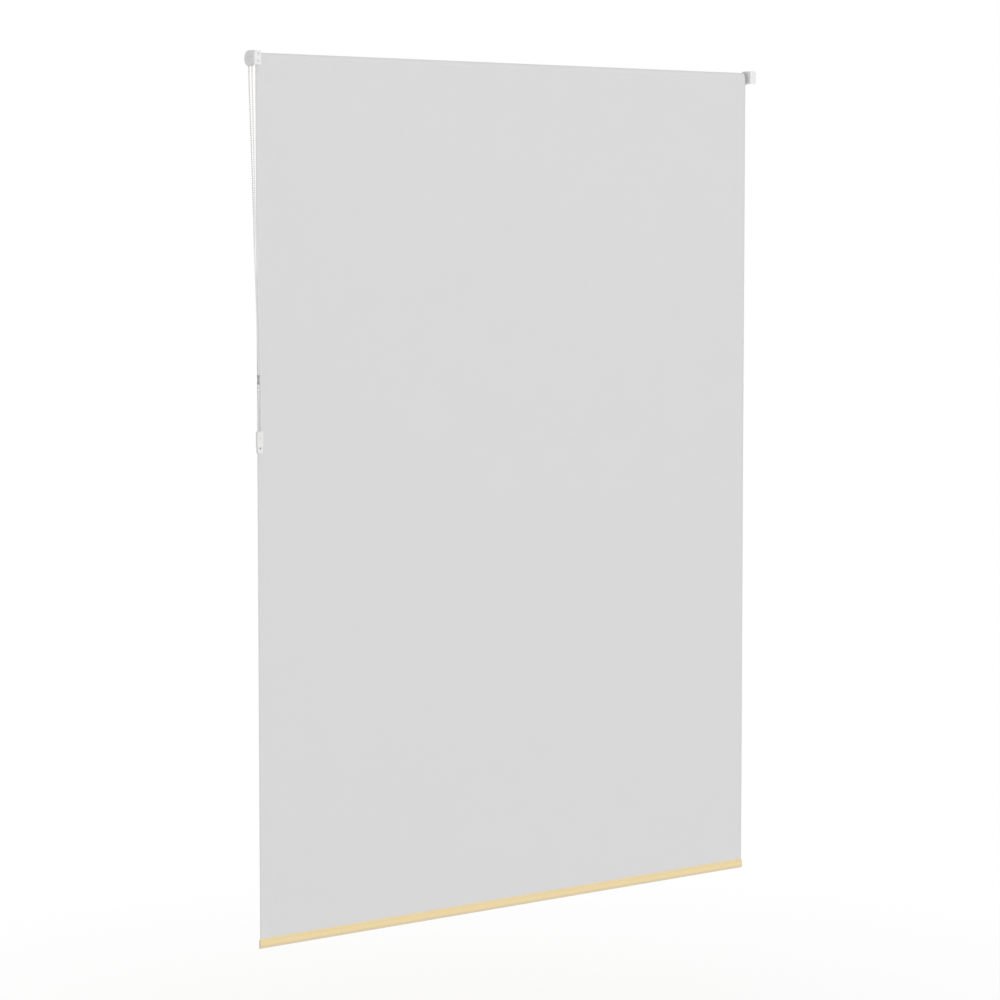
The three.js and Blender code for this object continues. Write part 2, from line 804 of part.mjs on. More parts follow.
function springRetainer() {
  const mouth = idleEdgeX + idlePlugLength;
  const outline = [
    [retainerX, 0],
    [retainerX, pinHeadRadius],
    [mouth, pinHeadRadius],
    [mouth, retainerRadius],
    [mouth + retainerFlange, retainerRadius],
    [mouth + retainerFlange, 0],
  ];
  return turned(outline, rollerLine, alongX, smallSides);
}

// A chain run from the housing to the tensioner. Side is 1 for the wall-side run.
function runCurve(side, route) {
  const top = new THREE.Vector3(chainX, axisY + side * pitchRadius, chainExitZ);
  const low = new THREE.Vector3(tensionerX - side * tensionerPitchRadius, tensionerChainY, runLowZ);
  const straight = new THREE.Vector3(0, 0, 4 * beadRadius);
  const points = [
    top,
    top.clone().sub(straight),
    ...route.map(([x, y, z]) => new THREE.Vector3(x, y, z)),
    low.clone().add(straight),
    low,
  ];
  return new THREE.CatmullRomCurve3(points, false, "centripetal");
}

// The part of a run between two heights, as a curve of its own with square ends.
function stretch(curve, highZ, lowZ) {
  const fine = curve.getSpacedPoints(finePoints);
  const inside = fine.filter((point) => point.z <= highZ && point.z >= lowZ);
  const steps = Math.max(2, Math.round((runSteps * inside.length) / fine.length));
  const points = [];
  for (let i = 0; i <= steps; i += 1) {
    points.push(inside[Math.round(((inside.length - 1) * i) / steps)].clone());
  }
  points[0].z = highZ;
  points[steps].z = lowZ;
  return { curve: new THREE.CatmullRomCurve3(points, false, "centripetal"), steps };
}

function chainStretch(side, route, highZ, lowZ) {
  const part = stretch(runCurve(side, route), highZ, lowZ);
  return tubeAlong(part.curve, beadRadius, part.steps, cordSides);
}

const wallRun = (highZ, lowZ) => chainStretch(1, wallRunRoute, highZ, lowZ);
const roomRun = (highZ, lowZ) => chainStretch(-1, roomRunRoute, highZ, lowZ);

function placeOnRun(side, route, z) {
  const fine = runCurve(side, route).getSpacedPoints(finePoints);
  return fine.reduce((best, point) => (Math.abs(point.z - z) < Math.abs(best.z - z) ? point : best));
}

// The chain over a wheel: a half circle with straight ends.
function loopOverWheel(at, radius, straight, up) {
  const points = [];
  points.push(at(-radius, -up * straight));
  points.push(at(-radius, (-up * straight) / 2));
  for (let i = 0; i <= loopSteps; i += 1) {
    const angle = Math.PI - (Math.PI * i) / loopSteps;
    points.push(at(radius * Math.cos(angle), up * radius * Math.sin(angle)));
  }
  points.push(at(radius, (-up * straight) / 2));
  points.push(at(radius, -up * straight));
  const curve = new THREE.CatmullRomCurve3(points, false, "centripetal");
  return tubeAlong(curve, beadRadius, 2 * loopSteps, cordSides);
}

function chainTopLoop() {
  const at = (y, z) => new THREE.Vector3(chainX, axisY + y, axisZ + z);
  return loopOverWheel(at, pitchRadius, housingRadius, 1);
}

function chainBottomLoop() {
  const at = (x, z) => new THREE.Vector3(tensionerX + x, tensionerChainY, tensionerWheelZ + z);
  return loopOverWheel(at, tensionerPitchRadius, tensionerWheelDrop, -1);
}

const connectorZ = tensionerTopZ + connectorAboveTensioner;
const connectorTopZ = connectorZ + connectorLength / 2;
const connectorBottomZ = connectorTopZ - connectorLength;
const stopTopZ = connectorBottomZ - stopBelowConnector;
const stopBottomZ = stopTopZ - stopLength;
const stopZ = (stopTopZ + stopBottomZ) / 2;

function chainConnector() {
  const centre = placeOnRun(-1, roomRunRoute, connectorZ);
  const half = connectorLength / 2;
  const neck = connectorRadius - beadRadius;
  const outline = [
    [-half, 0],
    [-half, connectorRadius - neck],
    [-half + neck, connectorRadius],
    [half - neck, connectorRadius],
    [half, connectorRadius - neck],
    [half, 0],
  ];
  return turned(outline, [centre.x, centre.y, connectorZ], alongZ, smallSides);
}

function chainStop() {
  const centre = placeOnRun(-1, roomRunRoute, stopZ);
  const outline = [];
  for (let i = 0; i <= arcSteps; i += 1) {
    const angle = Math.PI * (i / arcSteps);
    outline.push([(-stopLength / 2) * Math.cos(angle), i % arcSteps ? stopRadius * Math.sin(angle) : 0]);
  }
  return turned(outline, [centre.x, centre.y, stopZ], alongZ, smallSides);
}

// The tensioner's outline seen from the room: full width round the wheel, a little narrower at the screw.
function tensionerOutline() {
  const half = tensionerHalfWidth;
  const tab = tensionerTabWidth / 2;
  const shoulderZ = tensionerTopZ - tensionerShoulder;
  const footX = tab - tensionerCorner;
  const footZ = tensionerBottomZ + tensionerCorner;
  const outline = new THREE.Shape();
  outline.moveTo(tensionerX - half + tensionerCorner, tensionerTopZ);
  outline.absarc(
    tensionerX - half + tensionerCorner,
    tensionerTopZ - tensionerCorner,
    tensionerCorner,
    Math.PI / 2,
    Math.PI,
    false,
  );
  outline.lineTo(tensionerX - half, shoulderZ);
  outline.lineTo(tensionerX - tab, shoulderZ - (half - tab));
  outline.absarc(tensionerX - footX, footZ, tensionerCorner, Math.PI, 1.5 * Math.PI, false);
  outline.absarc(tensionerX + footX, footZ, tensionerCorner, 1.5 * Math.PI, 2 * Math.PI, false);
  outline.lineTo(tensionerX + tab, shoulderZ - (half - tab));
  outline.lineTo(tensionerX + half, shoulderZ);
  outline.absarc(
    tensionerX + half - tensionerCorner,
    tensionerTopZ - tensionerCorner,
    tensionerCorner,
    0,
    Math.PI / 2,
    false,
  );
  outline.closePath();
  return outline;
}

function tensionerScrewHole() {
  const outline = [
    [tensionerFrontY - overrun, 0],
    [tensionerFrontY - overrun, tensionerScrewRadius],
    [overrun, tensionerScrewRadius],
    [overrun, 0],
  ];
  return turned(outline, [tensionerX, 0, tensionerBottomZ + tensionerScrewUp], alongY, smallSides);
}

function tensionerAxleHole() {
  const outline = [
    [tensionerFrontY - overrun, 0],
    [tensionerFrontY - overrun, tensionerAxleRadius + seatGap],
    [overrun, tensionerAxleRadius + seatGap],
    [overrun, 0],
  ];
  return turned(outline, [tensionerX, 0, tensionerWheelZ], alongY, smallSides);
}

function tensionerBody() {
  const whole = plateAcrossY(tensionerOutline(), tensionerInsideY, 0);
  const half = tensionerHalfWidth - tensionerSideWall;
  const hollow = block(
    tensionerX - half,
    tensionerX + half,
    tensionerInsideY - overrun,
    -tensionerBackWall,
    tensionerTopZ - tensionerBlockTop,
    tensionerTopZ + overrun,
  );
  return cut(whole, hollow, tensionerScrewHole(), tensionerAxleHole());
}

function tensionerCover() {
  const plate = plateAcrossY(tensionerOutline(), tensionerFrontY, tensionerInsideY);
  return cut(plate, tensionerScrewHole(), tensionerAxleHole());
}

function tensionerAxle() {
  const outline = [
    [tensionerFrontY, 0],
    [tensionerFrontY, tensionerAxleRadius],
    [-seatGap, tensionerAxleRadius],
    [-seatGap, 0],
  ];
  return turned(outline, [tensionerX, 0, tensionerWheelZ], alongY, smallSides);
}

function tensionerWheel() {
  const bore = tensionerAxleRadius + runningGap;
  const rim = tensionerPitchRadius - tensionerWheelRim;
  const outline = [
    [beadRadius, bore],
    [beadRadius, rim],
  ];
  const start = Math.acos(beadRadius / grooveRadius);
  for (let i = 0; i <= arcSteps; i += 1) {
    const angle = start + ((Math.PI - 2 * start) * i) / arcSteps;
    outline.push([grooveRadius * Math.cos(angle), tensionerPitchRadius - grooveRadius * Math.sin(angle)]);
  }
  outline.push([-beadRadius, rim]);
  outline.push([-beadRadius, bore]);
  return turned(outline, [tensionerX, tensionerChainY, tensionerWheelZ], alongY, smallSides);
}

addPiece("clutch_bracket", clutchBracket(), whiteMetal);
addPiece("idle_bracket", idleBracket(), whiteMetal);
addPiece("clutch_housing", clutchHousing(), whitePlastic);
addPiece("clutch_cover", clutchCover(), whitePlastic);
addPiece("clutch_core", clutchCore(), whitePlastic);
addPiece("chain_wheel", chainWheel(), darkPlastic);
for (let number = 0; number < wrapSprings; number += 1) {
  addPiece(`wrap_spring_${number + 1}`, wrapSpring(number), steel);
}
addPiece("drive_plug", drivePlug(), greyPlastic);
addPiece("core_washer", coreWasher(), steel);
addPiece("core_screw", coreScrew(), steel);
addPiece("roller_tube", rollerTube(), aluminium);
addPiece("adhesive_tape", adhesiveTape(), tapeFinish);
addPiece("fabric_roll", fabricRoll(), greyCloth);
addPiece("fabric_panel", fabricPanel(), greyCloth);
addPiece("hem_pocket", hemPocket(), creamCloth);
addPiece("hem_bar", hemBar(), aluminium);
addPiece("hem_cap_clutch_side", hemCap(1), creamPlastic);
addPiece("hem_cap_idle_side", hemCap(-1), creamPlastic);
addPiece("idle_plug", idlePlug(), darkPlastic);
addPiece("idle_pin", idlePin(), steel);
addPiece("pin_spring", pinSpring(), steel);
addPiece("spring_retainer", springRetainer(), whitePlastic);
addPiece("chain_top_loop", chainTopLoop(), whitePlastic);
addPiece("chain_wall_run", wallRun(chainExitZ, runLowZ), whitePlastic);
addPiece("chain_room_run_upper", roomRun(chainExitZ, connectorTopZ + runningGap), whitePlastic);
addPiece("chain_connector", chainConnector(), clearPlastic);
addPiece(
  "chain_room_run_middle",
  roomRun(connectorBottomZ - runningGap, stopTopZ + runningGap),
  whitePlastic,
);
addPiece("chain_stop", chainStop(), whitePlastic);
addPiece("chain_room_run_lower", roomRun(stopBottomZ - runningGap, runLowZ), whitePlastic);
addPiece("chain_bottom_loop", chainBottomLoop(), whitePlastic);
addPiece("tensioner_body", tensionerBody(), whitePlastic);
addPiece("tensioner_cover", tensionerCover(), whitePlastic);
addPiece("tensioner_axle", tensionerAxle(), steel);
addPiece("tensioner_wheel", tensionerWheel(), whitePlastic);

export default blind;
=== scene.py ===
from bisect import bisect_right
from itertools import accumulate
from math import acos, asin, cos, degrees, pi, radians, sin, sqrt

import bmesh
import bpy
from mathutils import Matrix, Vector


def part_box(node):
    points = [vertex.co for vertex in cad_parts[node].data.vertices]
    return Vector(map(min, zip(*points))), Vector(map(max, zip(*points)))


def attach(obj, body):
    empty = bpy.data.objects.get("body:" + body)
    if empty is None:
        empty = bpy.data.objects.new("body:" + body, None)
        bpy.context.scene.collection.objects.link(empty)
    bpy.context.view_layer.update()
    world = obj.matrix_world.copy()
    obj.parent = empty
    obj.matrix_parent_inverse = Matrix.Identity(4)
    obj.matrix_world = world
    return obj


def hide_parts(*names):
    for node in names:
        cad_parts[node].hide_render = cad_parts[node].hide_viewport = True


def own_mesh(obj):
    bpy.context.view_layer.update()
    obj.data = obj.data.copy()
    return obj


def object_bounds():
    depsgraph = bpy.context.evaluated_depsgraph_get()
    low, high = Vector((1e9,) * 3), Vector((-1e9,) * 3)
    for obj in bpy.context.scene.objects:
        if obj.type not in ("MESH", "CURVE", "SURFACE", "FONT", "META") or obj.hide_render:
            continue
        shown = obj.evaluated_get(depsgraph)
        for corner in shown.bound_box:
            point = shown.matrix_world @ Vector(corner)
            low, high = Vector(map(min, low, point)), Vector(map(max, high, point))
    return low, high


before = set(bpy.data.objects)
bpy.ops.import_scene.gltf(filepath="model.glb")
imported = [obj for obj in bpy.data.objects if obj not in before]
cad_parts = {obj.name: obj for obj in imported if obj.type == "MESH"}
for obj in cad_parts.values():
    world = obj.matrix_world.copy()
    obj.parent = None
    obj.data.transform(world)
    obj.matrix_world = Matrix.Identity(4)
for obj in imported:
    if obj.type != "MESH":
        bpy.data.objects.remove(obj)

# A blackout roller blind with a side chain, seen from its wall side.
# Metres, +Z up. X runs along the roller with the clutch at +X, and the wall is the plane y = 0.
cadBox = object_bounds()
mm = 0.001

rollLow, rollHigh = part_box("fabric_roll")
axis = (rollLow + rollHigh) / 2                  # a point on the roller's line
rightEdge, leftEdge = rollHigh.x, rollLow.x      # the cloth's edges: clutch end and idle end
panelLow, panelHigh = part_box("fabric_panel")
clothY = (panelLow.y + panelHigh.y) / 2
hemLow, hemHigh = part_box("hem_pocket")
alongX, alongY, alongZ = Vector((1, 0, 0)), Vector((0, 1, 0)), Vector((0, 0, 1))


photoCamera = {
    "place": (4.1386, 6.4697, -0.4390),
    "yaw": -127.178,                             # degrees from +X, seen from above
    "pitch": -3.963,                             # degrees above the horizon
    "lens": 108.4,                               # mm
    "sensor": 36,
    "shiftUp": -0.06,
}


def setCamera(values):
    yaw, pitch = radians(values["yaw"]), radians(values["pitch"])
    ahead = Vector((cos(pitch) * cos(yaw), cos(pitch) * sin(yaw), sin(pitch)))
    lens = bpy.data.cameras.new("photoCamera")
    lens.lens = values["lens"]
    lens.sensor_width = values["sensor"]
    lens.shift_y = values["shiftUp"]
    camera = bpy.data.objects.new("photoCamera", lens)
    camera.location = values["place"]
    camera.rotation_euler = ahead.to_track_quat("-Z", "Y").to_euler()
    bpy.context.scene.collection.objects.link(camera)
    bpy.context.scene.camera = camera


setCamera(photoCamera)
print("camera set")


class Number:                                    # a shader socket that Python sums can use
    def __init__(self, maker, end):
        self.maker = maker
        self.end = end

    def math(self, operation, *values):
        return self.maker.node("ShaderNodeMath", {"operation": operation}, dict(enumerate(values)))

    def __add__(self, other):
        return self.math("ADD", self, other)

    def __radd__(self, other):
        return self.math("ADD", other, self)

    def __sub__(self, other):
        return self.math("SUBTRACT", self, other)

    def __rsub__(self, other):
        return self.math("SUBTRACT", other, self)

    def __mul__(self, other):
        return self.math("MULTIPLY", self, other)

    def __rmul__(self, other):
        return self.math("MULTIPLY", other, self)

    def __lt__(self, other):
        return self.math("LESS_THAN", self, other)

    def __gt__(self, other):
        return self.math("GREATER_THAN", self, other)


class NodeMaker:
    def __init__(self, owner):
        owner.use_nodes = True
        self.tree = owner.node_tree
        self.tree.nodes.clear()

    def node(self, kind, settings=None, inputs=None, output=0):
        made = self.tree.nodes.new(kind)
        for key, value in (settings or {}).items():
            setattr(made, key, value)
        for key, value in (inputs or {}).items():
            if isinstance(value, Number):
                self.tree.links.new(value.end, made.inputs[key])
            else:
                made.inputs[key].default_value = value
        return Number(self, made.outputs[output]) if len(made.outputs) else None

    def noise(self, spot, scale, detail=2):
        return self.node("ShaderNodeTexNoise", inputs={"Vector": spot, "Scale": scale, "Detail": detail})

    def between(self, factor, first, second):    # a colour between two
        pair = {6: first, 7: second}
        ends = {place: end if isinstance(end, Number) else (*end, 1) for place, end in pair.items()}
        return self.node("ShaderNodeMix", {"data_type": "RGBA"}, {0: factor, **ends}, output=2)

    def stretched(self, vector, scale):
        return self.node("ShaderNodeMapping", inputs={"Vector": vector, "Scale": scale})

    def bump(self, height, depth):
        return self.node("ShaderNodeBump", inputs={"Height": height, "Distance": depth})


class Finish(NodeMaker):                         # a material with one Principled shader
    def __init__(self, name, **fixed):
        self.material = bpy.data.materials.new(name)
        super().__init__(self.material)
        shader = self.node("ShaderNodeBsdfPrincipled")
        self.node("ShaderNodeOutputMaterial", inputs={"Surface": shader})
        self.shader = shader.end.node
        for socket, value in fixed.items():
            self.shader.inputs[socket.replace("_", " ")].default_value = value

    def feed(self, **sockets):
        for socket, value in sockets.items():
            self.tree.links.new(value.end, self.shader.inputs[socket.replace("_", " ")])
        return self.material

    def spot(self, scale=(1, 1, 1)):
        return self.stretched(self.node("ShaderNodeTexCoord", output="Object"), scale)


def shade(colour, share):
    return tuple(channel * share for channel in colour)


# Rigid finishes: colour, roughness, grain size and depth, and how the grain stretches along X, Y and Z
rigidFinishes = {
    "powderCoat": {"colour": (0.86, 0.86, 0.855), "rough": 0.38, "grain": 1.1 * mm, "depth": 0.03 * mm},
    "whiteMoulding": {"colour": (0.84, 0.84, 0.835), "rough": 0.45, "grain": 0.4 * mm, "depth": 0.008 * mm},
    "beadPlastic": {"colour": (0.84, 0.84, 0.855), "rough": 0.28, "grain": 0.8 * mm, "depth": 0.004 * mm},
    "greyMoulding": {"colour": (0.48, 0.48, 0.48), "rough": 0.5, "grain": 0.4 * mm, "depth": 0.01 * mm},
    # dark moulding: the chain wheel's own colour, and painted shade on the idle plug's flange and barrel
    "darkMouldingAndShade": {"colour": (0.16, 0.16, 0.16), "rough": 0.45, "grain": 0.4 * mm, "depth": 0.01 * mm},
    "smokedPlastic": {"colour": (0.35, 0.35, 0.35), "rough": 0.2, "grain": 2 * mm, "depth": 0.02 * mm},
    "capMoulding": {"colour": (0.82, 0.71, 0.5), "rough": 0.45, "grain": 0.4 * mm, "depth": 0.01 * mm},
    "fixingTape": {"colour": (0.8, 0.77, 0.66), "rough": 0.6, "grain": 0.8 * mm, "depth": 0.01 * mm},
    "springSteel": {
        "colour": (0.6, 0.61, 0.62), "rough": 0.3, "grain": 0.3 * mm, "depth": 0.004 * mm,
        "stretch": (0.15, 1, 1), "metal": 1,
    },
    "drawnAluminium": {
        "colour": (0.66, 0.67, 0.68), "rough": 0.38, "grain": 0.5 * mm, "depth": 0.006 * mm,
        "stretch": (0.01, 1, 1), "metal": 1,
    },
}


def rigidFinish(name, colour, rough, grain, depth, stretch=(1, 1, 1), metal=0):
    finish = Finish(name, Metallic=metal)
    fine = finish.noise(finish.spot(stretch), 1 / grain)
    wide = finish.noise(finish.spot(stretch), 30, 3)
    tone = finish.between(wide, shade(colour, 0.97), shade(colour, 1.03))
    return finish.feed(Base_Color=tone, Roughness=fine * 0.14 + (rough - 0.07), Normal=finish.bump(fine, depth))


# Cloth finishes read the cloth's own UV map, which is in metres
clothFinishes = {
    "coated": (0.74, 0.74, 0.74),
    "weaveLight": (0.95, 0.775, 0.45),
    "weaveDark": (0.88, 0.7, 0.39),
    "thread": 0.62 * mm,
    "cutEdge": 4 * mm,                           # darker strip along each side edge: the sealed edge's own tone and painted shade of an edge curl
    "seamDrop": 5.5 * mm,                        # welded line below the hem's upper edge
    "seam": 1.6 * mm,
    "hemShadeLight": (0.83, 0.705, 0.475),           # painted shade: greyer along the bar's rounded lower edge, standing in for its shaded underside
    "hemShadeDark": (0.765, 0.635, 0.41),
    "hemShadeTop": 8 * mm,                           # above the hem's lower edge, fading over the last part
    "hemShadeFade": 2 * mm,
}


def threads(finish, cloth, pitch):               # -1 to 1, one thread over and one under
    parts = finish.node("ShaderNodeSeparateXYZ", inputs={0: cloth}).end.node
    across, down = (Number(finish, parts.outputs[i]) * (pi / pitch) for i in (0, 1))
    return across.math("SINE", across) * down.math("SINE", down)


def cutEdges(finish, cloth, width):              # 1 on the darker strips along the side edges
    parts = finish.node("ShaderNodeSeparateXYZ", inputs={0: cloth}).end.node
    across = Number(finish, parts.outputs[0])
    return (across < leftEdge + width) + (across > rightEdge - width)


def coatedBack(values):
    finish = Finish("coatedBack", Specular_IOR_Level=0.3)
    cloth = finish.node("ShaderNodeUVMap", {"uv_map": "cloth"})
    fine = finish.noise(cloth, 1 / (0.5 * mm))
    wide = finish.noise(cloth, 6, 4)
    weave = threads(finish, cloth, values["thread"])
    tone = finish.between(wide, shade(values["coated"], 0.993), shade(values["coated"], 1.007))
    edge = cutEdges(finish, cloth, values["cutEdge"])
    # the sealed edge's own tone and painted shade: 5% darker on the strips along both side edges, for an edge curl
    # the mesh does not have
    toned = finish.between(1 - edge, shade(values["coated"], 0.95), tone)
    height = weave * 0.15 + fine
    return finish.feed(Base_Color=toned, Roughness=fine * 0.2 + 0.6, Normal=finish.bump(height, 0.02 * mm))


def roomWeave(values):
    finish = Finish("roomWeave", Specular_IOR_Level=0.2, Sheen_Weight=0.08, Sheen_Roughness=0.5)
    cloth = finish.node("ShaderNodeUVMap", {"uv_map": "cloth"})
    weave = threads(finish, cloth, values["thread"])
    warp = finish.noise(finish.stretched(cloth, (1 / values["thread"], 30, 1)), 1)
    weft = finish.noise(finish.stretched(cloth, (30, 1 / values["thread"], 1)), 1)
    down = Number(finish, finish.node("ShaderNodeSeparateXYZ", inputs={0: cloth}).end.node.outputs[1])
    fromSeam = down.math("ABSOLUTE", down - (hemHigh.z - values["seamDrop"]))
    seam = fromSeam < values["seam"] / 2
    mix = weave * 0.2 + (warp + weft) * 0.7 - 0.2 - seam * 0.5
    woven = finish.between(mix, values["weaveDark"], values["weaveLight"])
    # painted shade: the weave turns greyer and darker in the lowest strip of the hem, where the rounded underside is
    # in shade
    shadedWeave = finish.between(mix, values["hemShadeDark"], values["hemShadeLight"])
    level = Number(finish, finish.node("ShaderNodeSeparateXYZ", inputs={0: finish.spot()}).end.node.outputs[2])
    hemShade = (hemLow.z + values["hemShadeTop"] - level) * (1 / values["hemShadeFade"])
    tone = finish.between(hemShade, woven, shadedWeave)
    height = weave * 0.6 + (warp + weft) * 0.5 - seam * 2
    return finish.feed(Base_Color=tone, Roughness=weave * 0.05 + 0.85, Normal=finish.bump(height, 0.08 * mm))


finishes = {name: rigidFinish(name, **values) for name, values in rigidFinishes.items()}
finishes["coatedBack"] = coatedBack(clothFinishes)
finishes["roomWeave"] = roomWeave(clothFinishes)
print("finishes made")


# Mesh helpers
def keep(bm, name, body, materials, nodes=(), smooth=40, weighted=True):
    mesh = bpy.data.meshes.new(name)
    bm.to_mesh(mesh)
    bm.free()
    piece = bpy.data.objects.new(name, mesh)
    bpy.context.scene.collection.objects.link(piece)
    for material in materials:
        mesh.materials.append(finishes[material])
    mesh.shade_smooth()
    mesh.set_sharp_from_angle(angle=radians(smooth))
    if weighted:
        normals = piece.modifiers.new("flat faces stay flat", "WEIGHTED_NORMAL")
        normals.keep_sharp = True
    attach(piece, body)
    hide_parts(*nodes)
    return piece


def arc(centre, radius, start, end, steps):      # points on a circle, angles in degrees
    turn = [radians(start + (end - start) * i / steps) for i in range(steps + 1)]
    return [(centre[0] + radius * cos(t), centre[1] + radius * sin(t)) for t in turn]


def roundedBox(low, high, radius, steps=6):      # a rectangle's outline from two corners
    (a0, b0), (a1, b1) = low, high
    return [
        *arc((a1 - radius, b0 + radius), radius, -90, 0, steps),
        *arc((a1 - radius, b1 - radius), radius, 0, 90, steps),
        *arc((a0 + radius, b1 - radius), radius, 90, 180, steps),
        *arc((a0 + radius, b0 + radius), radius, 180, 270, steps),
    ]


def addLoop(bm, points, closed=True):
    verts = [bm.verts.new(point) for point in points]
    return [bm.edges.new(pair) for pair in zip(verts[0 if closed else 1:], verts[-1:] + verts if closed else verts)]


def fill(bm, edges):
    return bmesh.ops.triangle_fill(bm, use_beauty=True, use_dissolve=False, edges=edges)["geom"]


def facesIn(geom):
    return [part for part in geom if isinstance(part, bmesh.types.BMFace)]


def pull(bm, faces, offset, keepBack=False):     # a flat sheet needs its back kept to close the plate
    pulled = bmesh.ops.extrude_face_region(bm, geom=faces, use_keep_orig=True)["geom"]
    verts = [part for part in pulled if isinstance(part, bmesh.types.BMVert)]
    bmesh.ops.translate(bm, vec=offset, verts=verts)
    if not keepBack:
        bmesh.ops.delete(bm, geom=faces, context="FACES")
    return facesIn(pulled)


def soften(bm, width, segments=2, sharpest=50):
    edges = [e for e in bm.edges if e.is_manifold and degrees(e.calc_face_angle(0)) > sharpest]
    bmesh.ops.bevel(
        bm, geom=edges, affect="EDGES", offset=width, offset_type="OFFSET",
        segments=segments, profile=0.5, material=-1, clamp_overlap=True,
    )


def spun(outline, steps, closed=False, turn=2 * pi):     # (along, radius) points, turned about Z
    bm = bmesh.new()
    edges = addLoop(bm, [(radius, 0, along) for along, radius in outline], closed)
    bmesh.ops.spin(
        bm, geom=bm.verts[:] + edges, cent=(0, 0, 0), axis=alongZ, angle=turn, steps=steps,
        use_merge=turn == 2 * pi,
    )
    bmesh.ops.remove_doubles(bm, verts=bm.verts, dist=0.001 * mm)
    bmesh.ops.recalc_face_normals(bm, faces=bm.faces)
    return bm


def aim(bm, direction, centre):                  # from about Z to a line in the frame
    turn = alongZ.rotation_difference(direction).to_matrix().to_4x4()
    bmesh.ops.transform(bm, matrix=Matrix.Translation(centre) @ turn, verts=bm.verts)
    return bm


# The bead chain: one closed loop of beads on a string, over the clutch's wheel and round the tensioner's
beadChain = {
    "bead": 2.25 * mm,
    "pitch": 6 * mm,
    "string": 0.6 * mm,
    "wheelPockets": 8,
    "tensionerPockets": 6,
    "leadIn": 9 * mm,                            # straight at the ends of each free run
}
wallRunRoute = [
    (0.0044, -0.0184, -0.090), (0.00435, -0.0146, -0.202), (0.00395, -0.0106, -0.364),
    (0.00365, -0.0065, -0.457), (0.00295, -0.0049, -0.502), (0.00095, -0.0044, -0.557),
    (-0.00025, -0.0043, -0.621), (-0.00225, -0.0041, -0.702), (-0.0045, -0.0039, -0.800),
    (-0.0066, -0.0038, -0.882),
]
roomRunRoute = [
    (0.00465, -0.0326, -0.090), (0.00475, -0.026, -0.202), (0.00485, -0.0175, -0.364),
    (0.00525, -0.0114, -0.493), (0.00525, -0.0078, -0.557), (0.00495, -0.0044, -0.621),
    (0.00315, -0.0039, -0.702), (0.0011, -0.0039, -0.792), (0.0009, -0.0039, -0.826),
    (0.0016, -0.00385, -0.860), (0.0030, -0.0038, -0.905),
]


def smoothLine(points, perSpan=14):              # a centripetal spline through every point
    ghosts = [2 * points[0] - points[1], *points, 2 * points[-1] - points[-2]]
    line = []
    for a, b, c, d in zip(ghosts, ghosts[1:], ghosts[2:], ghosts[3:]):
        gaps = [sqrt((q - p).length) for p, q in ((a, b), (b, c), (c, d))]
        t0, t1, t2, t3 = accumulate(gaps, initial=0)
        for i in range(perSpan):
            t = t1 + (t2 - t1) * i / perSpan
            ab = a.lerp(b, (t - t0) / (t1 - t0))
            bc = b.lerp(c, (t - t1) / (t2 - t1))
            cd = c.lerp(d, (t - t2) / (t3 - t2))
            abc = ab.lerp(bc, (t - t0) / (t2 - t0))
            bcd = bc.lerp(cd, (t - t1) / (t3 - t1))
            line.append(abc.lerp(bcd, (t - t1) / (t2 - t1)))
    return line + [points[-1]]


def runLine(top, low, route, lead):
    points = [top, top - lead * alongZ, *map(Vector, route), low + lead * alongZ, low]
    return smoothLine(points)


def lengthsAlong(line):
    return list(accumulate(((q - p).length for p, q in zip(line, line[1:])), initial=0))


def placeAlong(line, lengths, distance):         # a point on the line and the line's direction there
    i = min(bisect_right(lengths, distance), len(line) - 1)
    share = (distance - lengths[i - 1]) / (lengths[i] - lengths[i - 1])
    return line[i - 1].lerp(line[i], share), (line[i] - line[i - 1]).normalized()


def stringMesh(line, radius):
    curve = bpy.data.curves.new("string", "CURVE")
    curve.dimensions = "3D"
    curve.bevel_depth = radius
    curve.bevel_resolution = 1
    curve.use_fill_caps = True
    spline = curve.splines.new("POLY")
    spline.points.add(len(line) - 1)
    for point, place in zip(spline.points, line):
        point.co = (*place, 1)
    holder = bpy.data.objects.new("string", curve)
    bpy.context.scene.collection.objects.link(holder)
    mesh = bpy.data.meshes.new_from_object(holder.evaluated_get(bpy.context.evaluated_depsgraph_get()))
    bpy.data.objects.remove(holder)
    return mesh


def chainPiece(name, lines, beads, values, nodes):
    bm = bmesh.new()
    for line in lines:
        bm.from_mesh(stringMesh(line, values["string"]))
    for place, direction in beads:
        turn = alongZ.rotation_difference(direction).to_matrix().to_4x4()
        bmesh.ops.create_uvsphere(
            bm, u_segments=12, v_segments=7, radius=values["bead"],
            matrix=Matrix.Translation(place) @ turn,
        )
    return keep(bm, name, "wall_fixed", ["beadPlastic"], nodes, smooth=80, weighted=False)


